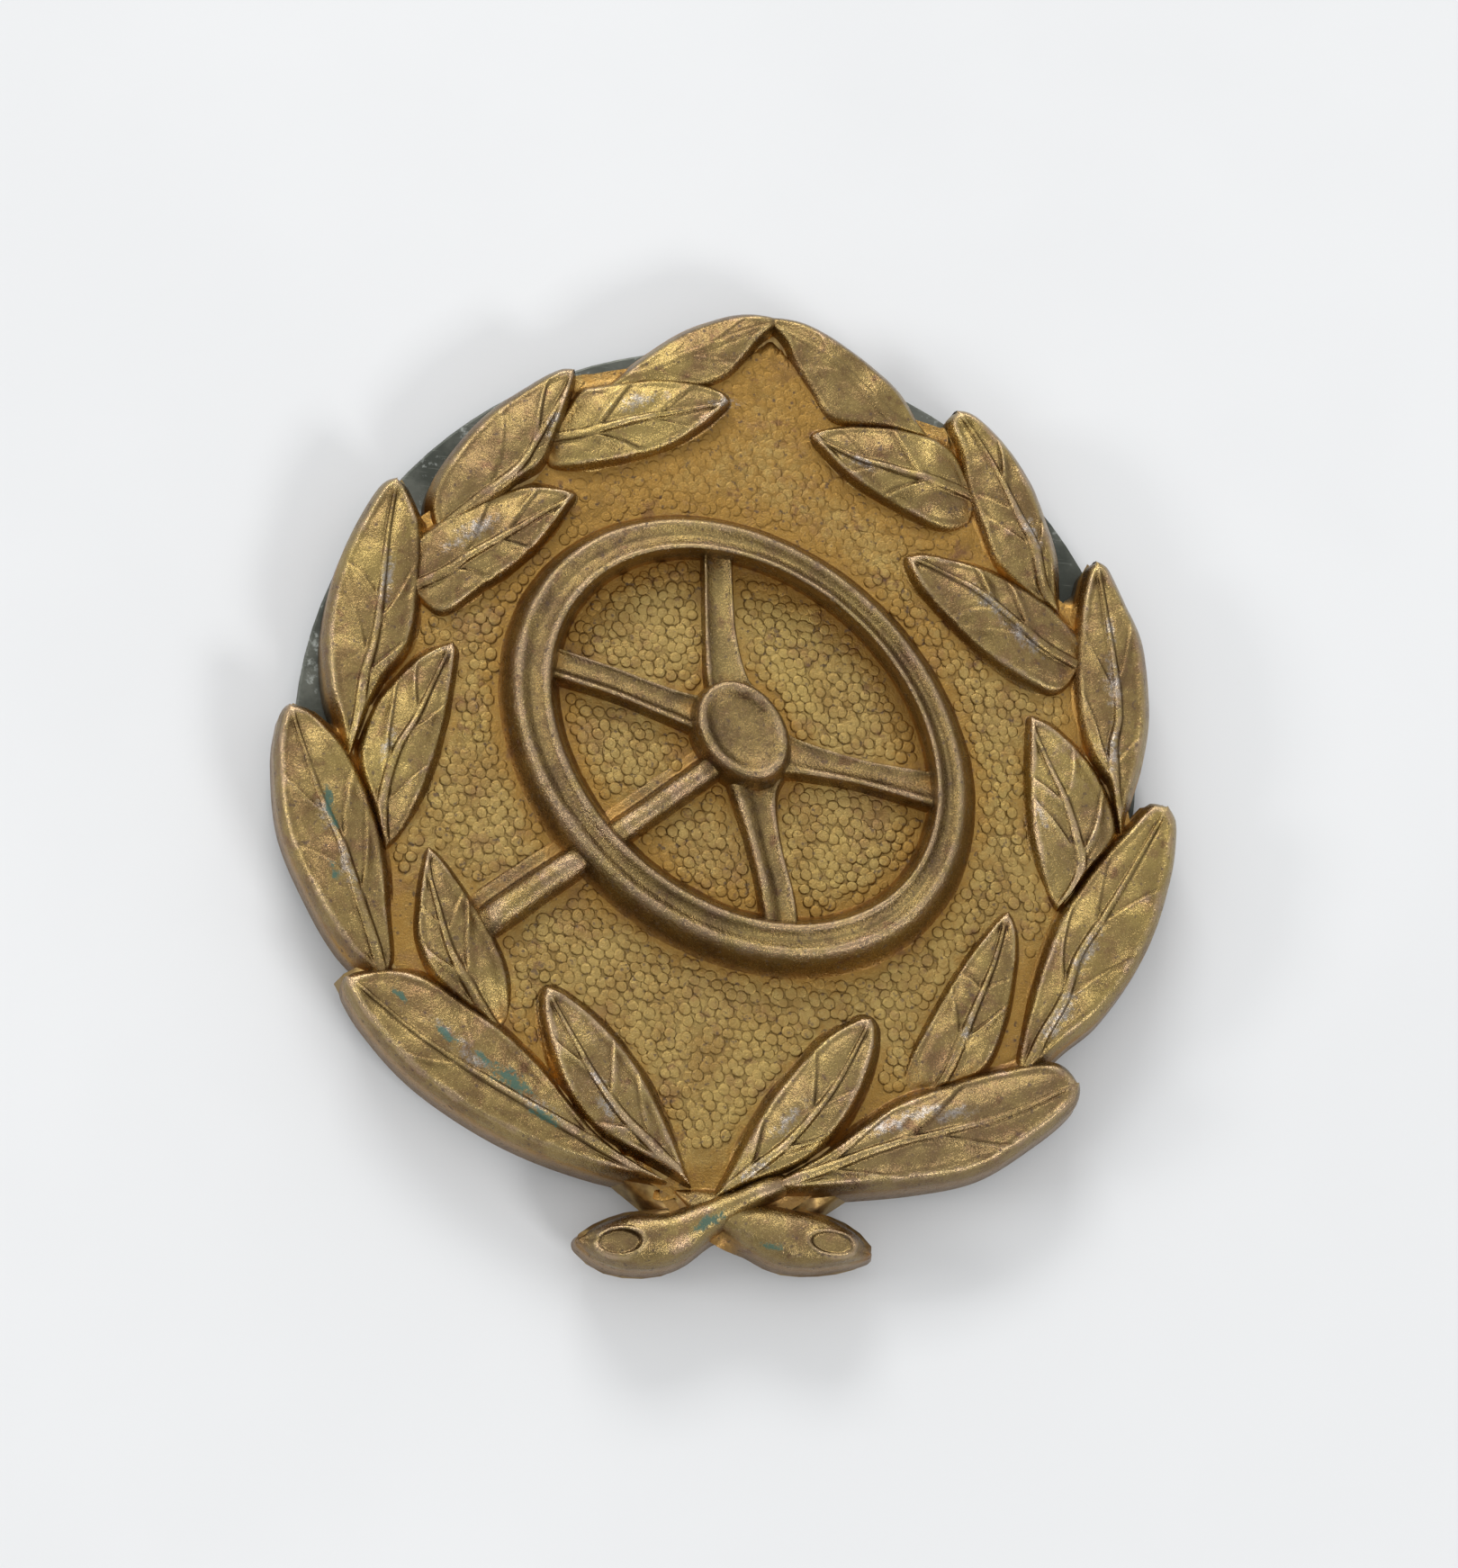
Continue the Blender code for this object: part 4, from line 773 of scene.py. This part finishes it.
def shellInside():
    # the hollow rear of the struck sheet, its front kept clear below the relief
    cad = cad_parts["front_shell"]
    mesh = cad.data.copy()
    piece = bpy.data.objects.new("shellInside", mesh)
    bpy.context.scene.collection.objects.link(piece)
    bpy.ops.object.select_all(action="DESELECT")
    piece.select_set(True)
    bpy.context.view_layer.objects.active = piece
    bpy.ops.object.mode_set(mode="EDIT")
    bpy.ops.mesh.select_all(action="SELECT")
    bpy.ops.mesh.remove_doubles(threshold=0.001 * mm)
    bpy.ops.object.mode_set(mode="OBJECT")
    front = sorted({v for p in mesh.polygons if p.normal.z > 0.05 for v in p.vertices
                    if mesh.vertices[v].co.z > 2.5 * mm})
    lowest = readGrid(-spread(-heights, 3), places(piece)[front]) - 0.1
    for v, low in zip(front, lowest):
        mesh.vertices[v].co.z = min(mesh.vertices[v].co.z - rear["under"] * mm, low * mm)
    for vertex in mesh.vertices:
        size = rear["seatSize"] if vertex.co.z < rear["seatBelow"] * mm else rear["frontSize"]
        vertex.co.x *= size
        vertex.co.y *= size
    mesh.shade_smooth()
    mesh.set_sharp_from_angle(angle=math.radians(50))
    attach(piece, "badge")
    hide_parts("front_shell")
    return piece


shellRear = shellInside()

# Fold-over prongs: one bent strip each, soldered inside the shell, through the plate.
prong = {"thick": 0.45, "wide": 2.6, "leg": 7.6, "foot": 3.0, "footHeight": 1.925,
         "foldHeight": 0.225, "bend": 0.32, "round": 0.07, "tipRound": 0.7,
         "places": {"upper_left": (-4.8, 5.6), "upper_right": (4.8, 5.6),
                    "lower_left": (-4.8, -3.4), "lower_right": (4.8, -3.4)}}


def arcPoints(centre, radius, start, end, count):
    angle = np.radians(np.linspace(start, end, count))
    return [(centre[0] + radius * math.cos(a), centre[1] + radius * math.sin(a)) for a in angle]


def turnFacesOut():
    bpy.ops.object.mode_set(mode="EDIT")
    bpy.ops.mesh.select_all(action="SELECT")
    bpy.ops.mesh.normals_make_consistent(inside=False)
    bpy.ops.object.mode_set(mode="OBJECT")


def prongPiece(side, x, y):
    bend, fold, top = prong["bend"], prong["foldHeight"], prong["footHeight"]
    path = [(-prong["foot"], top), (-2.8, top), (-1.6, top), (-bend - 0.2, top)]
    path += arcPoints((-bend, top - bend), bend, 90, 0, 7)
    path += [(0, 1.3), (0, 0.9)]
    path += arcPoints((bend, fold + bend), bend, 180, 270, 8)
    path += [(d, fold) for d in (1.2, 2.5, 4.0, 5.5, 6.6, 7.0, 7.2, 7.35, 7.45, 7.53, 7.58)]
    path = np.array(path)
    ahead = np.gradient(path, axis=0)
    ahead /= np.linalg.norm(ahead, axis=1)[:, None]
    over = np.column_stack([-ahead[:, 1], ahead[:, 0]])
    half, flat, soft = prong["wide"] / 2, prong["thick"] / 2, prong["round"]
    section = []
    for cx, cz, start in ((half - soft, flat - soft, 0), (soft - half, flat - soft, 90),
                          (soft - half, soft - flat, 180), (half - soft, soft - flat, 270)):
        section += arcPoints((cx, cz), soft, start, start + 90, 4)
    section = np.array(section + section[:1])
    tip = prong["tipRound"]
    toTip = np.clip(prong["leg"] - path[:, 0], 0, tip)
    narrowed = tip - np.sqrt(np.maximum(0, tip ** 2 - (tip - toTip) ** 2))
    rows = []
    for place, up, less in zip(path, over, narrowed):
        wide = section[:, 0] * (half - less) / half
        rows.append(np.column_stack([place[0] + up[0] * section[:, 1], wide,
                                     place[1] + up[1] * section[:, 1]]))
    rows = np.array(rows)
    rows = np.concatenate([rows[:1].mean(1, keepdims=True).repeat(rows.shape[1], 1), rows,
                           rows[-1:].mean(1, keepdims=True).repeat(rows.shape[1], 1)])
    turn = 1 if x > 0 else -1
    rows = rows * (turn, 1, 1) + (x, y, 0)
    piece = gridPiece("prong_" + side, rows, merge=True)
    turnFacesOut()
    bpy.ops.object.shade_smooth_by_angle(angle=math.radians(40))
    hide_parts("prong_base_" + side, "prong_leg_" + side)
    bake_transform(piece)
    return piece


def solderPiece(side, x, y, seed):
    # a soft flattened drop that runs out round the prong's foot
    inward = -1 if x > 0 else 1
    centre = (x + inward * prong["foot"] / 2, y)
    low, high = (corner.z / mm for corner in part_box("solder_" + side))
    outline = [((0.02, 0.02), low), ((1.5, 1.2), low), ((1.72, 1.4), low + 0.04),
               ((1.75, 1.42), low + 0.1), ((1.6, 1.3), high - 0.05), ((1.0, 0.8), high),
               ((0.02, 0.02), high)]
    loops = [(centre, axes, z) for axes, z in outline]
    piece = ovalPiece("solder_pad_" + side, loops, 20.0 + 40 * seed, 48, 24)
    turnFacesOut()
    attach(piece, "badge")
    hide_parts("solder_" + side)
    return piece


prongPieces = [prongPiece(side, x, y) for side, (x, y) in prong["places"].items()]
solderPieces = [solderPiece(side, x, y, k)
                for k, (side, (x, y)) in enumerate(prong["places"].items())]
print("prongs and solder: 4 each")


class Value:
    # one output of a shader node, with the arithmetic that the materials use
    def __init__(self, tree, socket):
        self.tree, self.socket = tree, socket

    def __add__(self, other):
        return self.tree.calculate("ADD", self, other)

    def __radd__(self, other):
        return self.tree.calculate("ADD", other, self)

    def __sub__(self, other):
        return self.tree.calculate("SUBTRACT", self, other)

    def __rsub__(self, other):
        return self.tree.calculate("SUBTRACT", other, self)

    def __mul__(self, other):
        return self.tree.calculate("MULTIPLY", self, other)

    def __rmul__(self, other):
        return self.tree.calculate("MULTIPLY", other, self)

    def clamped(self):
        return self.tree.calculate("ADD", self, 0.0, clamp=True)

    def between(self, low, high):
        # 0 below low, 1 above high, eased between them
        return self.tree.node("ShaderNodeMapRange", {"interpolation_type": "SMOOTHSTEP"},
                              {"Value": self, "From Min": low, "From Max": high})


class Finish:
    # a material under construction: its node tree and its shader
    def __init__(self, name, shader):
        self.material = bpy.data.materials.new(name)
        self.material.use_nodes = True
        self.nodes = self.material.node_tree.nodes
        self.links = self.material.node_tree.links
        self.shader = self.nodes["Principled BSDF"]
        for socket, value in shader.items():
            self.put(self.shader.inputs[socket], value)
        spot = self.node("ShaderNodeTexCoord", out="Object")
        self.spot = self.node("ShaderNodeMapping", {}, {"Vector": spot,
                                                        "Scale": (1000, 1000, 1000)})

    def put(self, socket, value):
        if isinstance(value, Value):
            self.links.new(value.socket, socket)
        elif isinstance(value, tuple) and len(value) == 3 and socket.type == "RGBA":
            socket.default_value = (*value, 1.0)
        else:
            socket.default_value = value

    def node(self, kind, settings=None, values=None, out=0):
        made = self.nodes.new(kind)
        for key, value in (settings or {}).items():
            setattr(made, key, value)
        for key, value in (values or {}).items():
            self.put(made.inputs[key], value)
        return Value(self, made.outputs[out])

    def calculate(self, operation, a, b, clamp=False):
        return self.node("ShaderNodeMath", {"operation": operation, "use_clamp": clamp},
                         {0: a, 1: b})

    def mix(self, under, over, amount, blend="MIX"):
        settings = {"data_type": "RGBA", "blend_type": blend, "clamp_factor": True}
        return self.node("ShaderNodeMix", settings, {0: amount, 6: under, 7: over}, out=2)

    def noise(self, scale, detail=4.0, rough=0.55, stretch=None, shift=(0, 0, 0)):
        spot = self.spot
        if stretch or shift != (0, 0, 0):
            spot = self.node("ShaderNodeMapping", {}, {
                "Vector": spot, "Scale": stretch or (1, 1, 1), "Location": shift})
        return self.node("ShaderNodeTexNoise", {}, {
            "Vector": spot, "Scale": scale, "Detail": detail, "Roughness": rough})

    def attribute(self, name):
        return self.node("ShaderNodeAttribute", {"attribute_name": name}, out="Fac")

    def bump(self, height, strength, distance, under=None):
        values = {"Height": height, "Strength": strength, "Distance": distance}
        if under:
            values["Normal"] = under
        return self.node("ShaderNodeBump", {}, values)

    def finish(self, colour, rough, normal, metal=None):
        self.put(self.shader.inputs["Base Color"], colour)
        self.put(self.shader.inputs["Roughness"], rough)
        self.put(self.shader.inputs["Normal"], normal)
        if metal:
            self.put(self.shader.inputs["Metallic"], metal)
        return self.material


def dress(piece, material):
    piece.data.materials.clear()
    piece.data.materials.append(material)


# Bronzed brass: the base tone of each part of the relief, worn crests with a painted highlight,
# painted glints, painted shade in grooves and low down, tarnish, specks.
brassTones = {
    "leaf": {"base": (0.28, 0.195, 0.074), "second": (0.19, 0.12, 0.052),
             "bright": (0.42, 0.31, 0.1), "recess": (0.34, 0.19, 0.05),
             "groove": (0.06, 0.034, 0.015), "rust": (0.2, 0.11, 0.06),
             "rubAndLight": 0.9, "pink": 0.5, "grain": 1.0, "rough": 0.26},
    "wheel": {"base": (0.235, 0.16, 0.063), "second": (0.14, 0.09, 0.043),
              "bright": (0.32, 0.235, 0.085), "recess": (0.3, 0.17, 0.05),
              "groove": (0.06, 0.034, 0.015), "rust": (0.16, 0.09, 0.05),
              "rubAndLight": 0.6, "pink": 0.35, "grain": 1.2, "rough": 0.26},
    "field": {"base": (0.34, 0.235, 0.08), "second": (0.27, 0.17, 0.055),
              "bright": (0.38, 0.27, 0.085), "recess": (0.29, 0.165, 0.042),
              "groove": (0.05, 0.027, 0.01), "rust": (0.22, 0.12, 0.05),
              "rubAndLight": 0.5, "pink": 0.2, "grain": 1.2, "rough": 0.36},
}

brassMarks = {"shade": (0.15, 0.1, 0.06), "rubbedAndLit": (0.52, 0.4, 0.17), "pink": (0.4, 0.27, 0.2),
              "glint": (0.62, 0.5, 0.28), "bare": (0.38, 0.36, 0.35),
              "speck": (0.06, 0.035, 0.025), "stain": (0.12, 0.055, 0.035),
              "salts": (0.018, 0.085, 0.062)}


def brassFinish(name, tone):
    f = Finish(name, {"Metallic": 1.0})
    crest, recess = f.attribute("crest"), f.attribute("recess")
    groove, silver = f.attribute("groove"), f.attribute("silver")
    green, edge = f.attribute("verdigris"), f.attribute("edge")
    cloud = f.noise(0.16, 3.0, 0.5)
    blotch = f.noise(0.5, 5.0, 0.6)
    mottle = f.noise(1.9, 5.0, 0.65)
    grain = f.noise(9.0, 3.0, 0.7)
    glint = f.noise(12.0, 2.0, 0.6, shift=(2, 9, 4))
    streak = f.noise(2.2, 6.0, 0.75, shift=(5, 60, 0))
    rust = f.noise(0.7, 5.0, 0.65, shift=(40, 3, 9))

    colour = f.mix(tone["base"], tone["second"], (blotch + 0.5 * mottle).between(0.62, 0.9))
    colour = f.mix(colour, tone["bright"], cloud.between(0.5, 0.7) * 0.5)
    valley = (recess * 1.3 - 0.15 + (mottle - 0.5)).between(0.1, 0.85)
    colour = f.mix(colour, tone["recess"], valley)
    # painted shade: the low walls and the pieces marked darker turn dark brown
    colour = f.mix(colour, brassMarks["shade"], edge * (mottle + 0.25))
    colour = f.mix(colour, tone["rust"], rust.between(0.52, 0.68) * 0.55)
    # crests rubbed paler: worn metal, with a painted highlight on the raised edges and beads
    rubbedAndLit = crest * tone["rubAndLight"] + (mottle - 0.5) * 0.7 + (blotch - 0.5) * 0.6
    colour = f.mix(colour, brassMarks["rubbedAndLit"], rubbedAndLit.between(0.3, 1.1) * 0.55)
    pinkish = (crest + (rust - 0.5) * 2.5 + (streak - 0.5)).between(0.5, 1.2)
    colour = f.mix(colour, brassMarks["pink"], pinkish * tone["pink"])
    # painted glint highlights: pale flecks, stronger on the crests, with darker flecks beside them
    colour = f.mix(colour, brassMarks["glint"], glint.between(0.58, 0.7) * (crest * 0.3 + 0.15))
    colour = f.mix(colour, tone["second"], (1 - glint).between(0.56, 0.7) * 0.3)
    bare = (silver * 0.9 + (streak - 0.5) * 3.0 + (grain - 0.5) * 1.2).between(0.4, 1.3)
    bare = bare * silver.between(0.05, 0.5)
    colour = f.mix(colour, brassMarks["bare"], bare * 0.7)
    # painted shade: grooves, eye edges, pebble rims and the gaps between pebbles darkened nearly
    # to black
    colour = f.mix(colour, tone["groove"], groove * (0.65 + mottle * 0.5))
    dots = f.node("ShaderNodeTexVoronoi", {}, {"Vector": f.spot, "Scale": 1.9})
    dots = (1 - (dots + (grain - 0.5) * 0.2).between(0.08, 0.2)) * blotch.between(0.4, 0.55)
    specks = (f.noise(3.0, 3.0, 0.6, shift=(31, 7, 0)).between(0.62, 0.7) + dots).clamped()
    colour = f.mix(colour, brassMarks["speck"], specks * 0.7)
    stain = f.noise(0.9, 4.0, 0.65, shift=(70, 20, 0)).between(0.6, 0.7)
    colour = f.mix(colour, brassMarks["stain"], stain * 0.55)
    salts = (green + (streak - 0.5) * 3.0 + (grain - 0.5) * 1.2 + groove * 0.3).between(0.5, 0.9)
    salts = salts * green.between(0.05, 0.4)
    colour = f.mix(colour, brassMarks["salts"], salts * 0.85)

    rough = (tone["rough"] + (mottle - 0.5) * 0.3 + (glint - 0.5) * 0.3 + valley * 0.08
             - crest * 0.07 + specks * 0.2 + salts * 0.35).clamped()
    normal = f.bump(mottle, 0.4, 0.0001)
    normal = f.bump(grain, 0.6 * tone["grain"], 0.00006, normal)
    return f.finish(colour, rough, normal, (1 - salts * 0.8 - specks * 0.4).clamped())


leafBrass = brassFinish("leafBrass", brassTones["leaf"])
wheelBrass = brassFinish("wheelBrass", brassTones["wheel"])
fieldBrass = brassFinish("fieldBrass", brassTones["field"])
for piece in reliefPieces:
    dress(piece, wheelBrass if piece.name.startswith(("wheel", "spoke", "column")) else leafBrass)
dress(fieldSheet, fieldBrass)
dress(pebbleField, fieldBrass)


def plainBrassFinish(name, base, dull):
    # bare inside of the sheet and the prongs: duller, with rolling marks and fingerprints
    f = Finish(name, {"Metallic": 1.0})
    blotch = f.noise(0.6, 5.0, 0.6)
    mottle = f.noise(2.6, 4.0, 0.6)
    marks = f.noise(2.0, 4.0, 0.6, stretch=(1.0, 9.0, 1.0))
    colour = f.mix(base, dull, (blotch + (mottle - 0.5) * 0.6).between(0.35, 0.7))
    colour = f.mix(colour, (0.1, 0.05, 0.025), f.noise(3.2, 2.0).between(0.68, 0.74) * 0.7)
    rough = (0.36 + (blotch - 0.5) * 0.35 + marks * 0.12).clamped()
    normal = f.bump(marks, 0.2, 0.00003, f.bump(mottle, 0.2, 0.00008))
    return f.finish(colour, rough, normal)


dress(shellRear, plainBrassFinish("rearBrass", (0.4, 0.27, 0.1), (0.2, 0.12, 0.05)))
stripBrass = plainBrassFinish("prongBrass", (0.5, 0.35, 0.14), (0.28, 0.18, 0.07))
for piece in prongPieces:
    dress(piece, stripBrass)


def zincFinish():
    # dark grey zinc with white bloom and fine scratches
    f = Finish("oldZinc", {})
    cloud = f.noise(0.35, 5.0, 0.6)
    bloom = f.noise(0.75, 6.0, 0.65, shift=(12, 5, 0))
    spots = f.noise(4.5, 3.0, 0.6)
    scratches = f.noise(1.6, 3.0, 0.5, stretch=(0.35, 8.0, 1.0))
    colour = f.mix((0.045, 0.05, 0.04), (0.12, 0.125, 0.105), cloud.between(0.35, 0.65))
    white = (bloom + (spots - 0.5) * 0.5 + (cloud - 0.5) * 0.6).between(0.58, 0.74)
    colour = f.mix(colour, (0.4, 0.43, 0.4), white * 0.7)
    colour = f.mix(colour, (0.22, 0.23, 0.2), scratches.between(0.62, 0.7) * 0.4)
    rough = (0.5 + white * 0.3 + (spots - 0.5) * 0.2).clamped()
    normal = f.bump(bloom, 0.3, 0.00008, f.bump(spots, 0.2, 0.00003))
    return f.finish(colour, rough, normal, (0.6 - white * 0.6).clamped())


dress(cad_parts["back_plate"], zincFinish())


def solderFinish():
    f = Finish("dullSolder", {"Metallic": 1.0})
    cloud, grain = f.noise(0.9, 4.0), f.noise(6.0, 3.0)
    colour = f.mix((0.36, 0.36, 0.35), (0.22, 0.22, 0.21), cloud.between(0.4, 0.65))
    normal = f.bump(cloud, 0.3, 0.0001, f.bump(grain, 0.2, 0.00003))
    return f.finish(colour, (0.4 + grain * 0.25).clamped(), normal)


softSolder = solderFinish()
for piece in solderPieces:
    dress(piece, softSolder)
print("materials done")

# Floor, light and camera.
studio = {"floorSize": 3.0, "brightSide": (-0.25, 0.7, 0.65), "skyRange": (0.36, 1.04),
          "lamps": {"window": {"place": (-0.15, 0.6, 0.4), "size": (0.36, 0.16), "power": 2.4},
                    "side": {"place": (-0.62, -0.05, 0.3), "size": (0.22, 0.13), "power": 1.3},
                    "fill": {"place": (0.42, -0.42, 0.42), "size": (0.24, 0.15), "power": 1.9}},
          "cameraPlace": (-0.02206, -0.06244, 0.24284),
          "cameraTurn": (14.034, -6.445, 4.862), "lens": 124.0}

bpy.ops.object.select_all(action="DESELECT")
bpy.ops.mesh.primitive_plane_add(size=studio["floorSize"])
floor = bpy.context.active_object
floor.name = "floor"
paper = Finish("palePaper", {"Specular IOR Level": 0.25})
paperCloud = paper.noise(0.02, 4.0, 0.6)
dirt = paper.noise(0.5, 3.0, 0.6, shift=(9, 4, 0)).between(0.74, 0.8)
paperColour = paper.mix((0.645, 0.65, 0.655), (0.63, 0.635, 0.64), paperCloud.between(0.4, 0.6))
paperColour = paper.mix(paperColour, (0.6, 0.56, 0.5), dirt * 0.2)
dress(floor, paper.finish(paperColour, 0.6 + paperCloud * 0.2,
                          paper.bump(paper.noise(0.7, 4.0), 0.1, 0.0001)))


for name, lamp in studio["lamps"].items():
    bpy.ops.object.light_add(type="AREA", location=lamp["place"])
    softbox = bpy.context.active_object
    softbox.name = name
    softbox.data.shape = "RECTANGLE"
    softbox.data.size, softbox.data.size_y = lamp["size"]
    softbox.data.energy = lamp["power"]
    softbox.rotation_euler = (Vector(lamp["place"]) - Vector((0, 0, 0.003))).to_track_quat(
        "Z", "Y").to_euler()
world = bpy.data.worlds.new("studioSky")
bpy.context.scene.world = world
world.use_nodes = True
skyNodes, skyLinks = world.node_tree.nodes, world.node_tree.links
toward = skyNodes.new("ShaderNodeVectorMath")   # brighter towards the window side
toward.operation = "DOT_PRODUCT"
toward.inputs[1].default_value = studio["brightSide"]
glow = skyNodes.new("ShaderNodeMapRange")
glow.inputs["From Min"].default_value = -0.7
glow.inputs["To Min"].default_value, glow.inputs["To Max"].default_value = studio["skyRange"]
skyLinks.new(skyNodes.new("ShaderNodeTexCoord").outputs["Generated"], toward.inputs[0])
skyLinks.new(toward.outputs["Value"], glow.inputs["Value"])
skyLinks.new(glow.outputs["Result"], skyNodes["Background"].inputs["Strength"])
skyNodes["Background"].inputs["Color"].default_value = (0.98, 0.99, 1.0, 1)
bpy.context.scene.view_settings.view_transform = "Standard"

bpy.ops.object.camera_add(location=studio["cameraPlace"],
                          rotation=[math.radians(a) for a in studio["cameraTurn"]])
camera = bpy.context.active_object
camera.data.lens = studio["lens"]
camera.data.sensor_width = 36.0
camera.data.clip_start = 0.01
bpy.context.scene.camera = camera
print("studio ready")
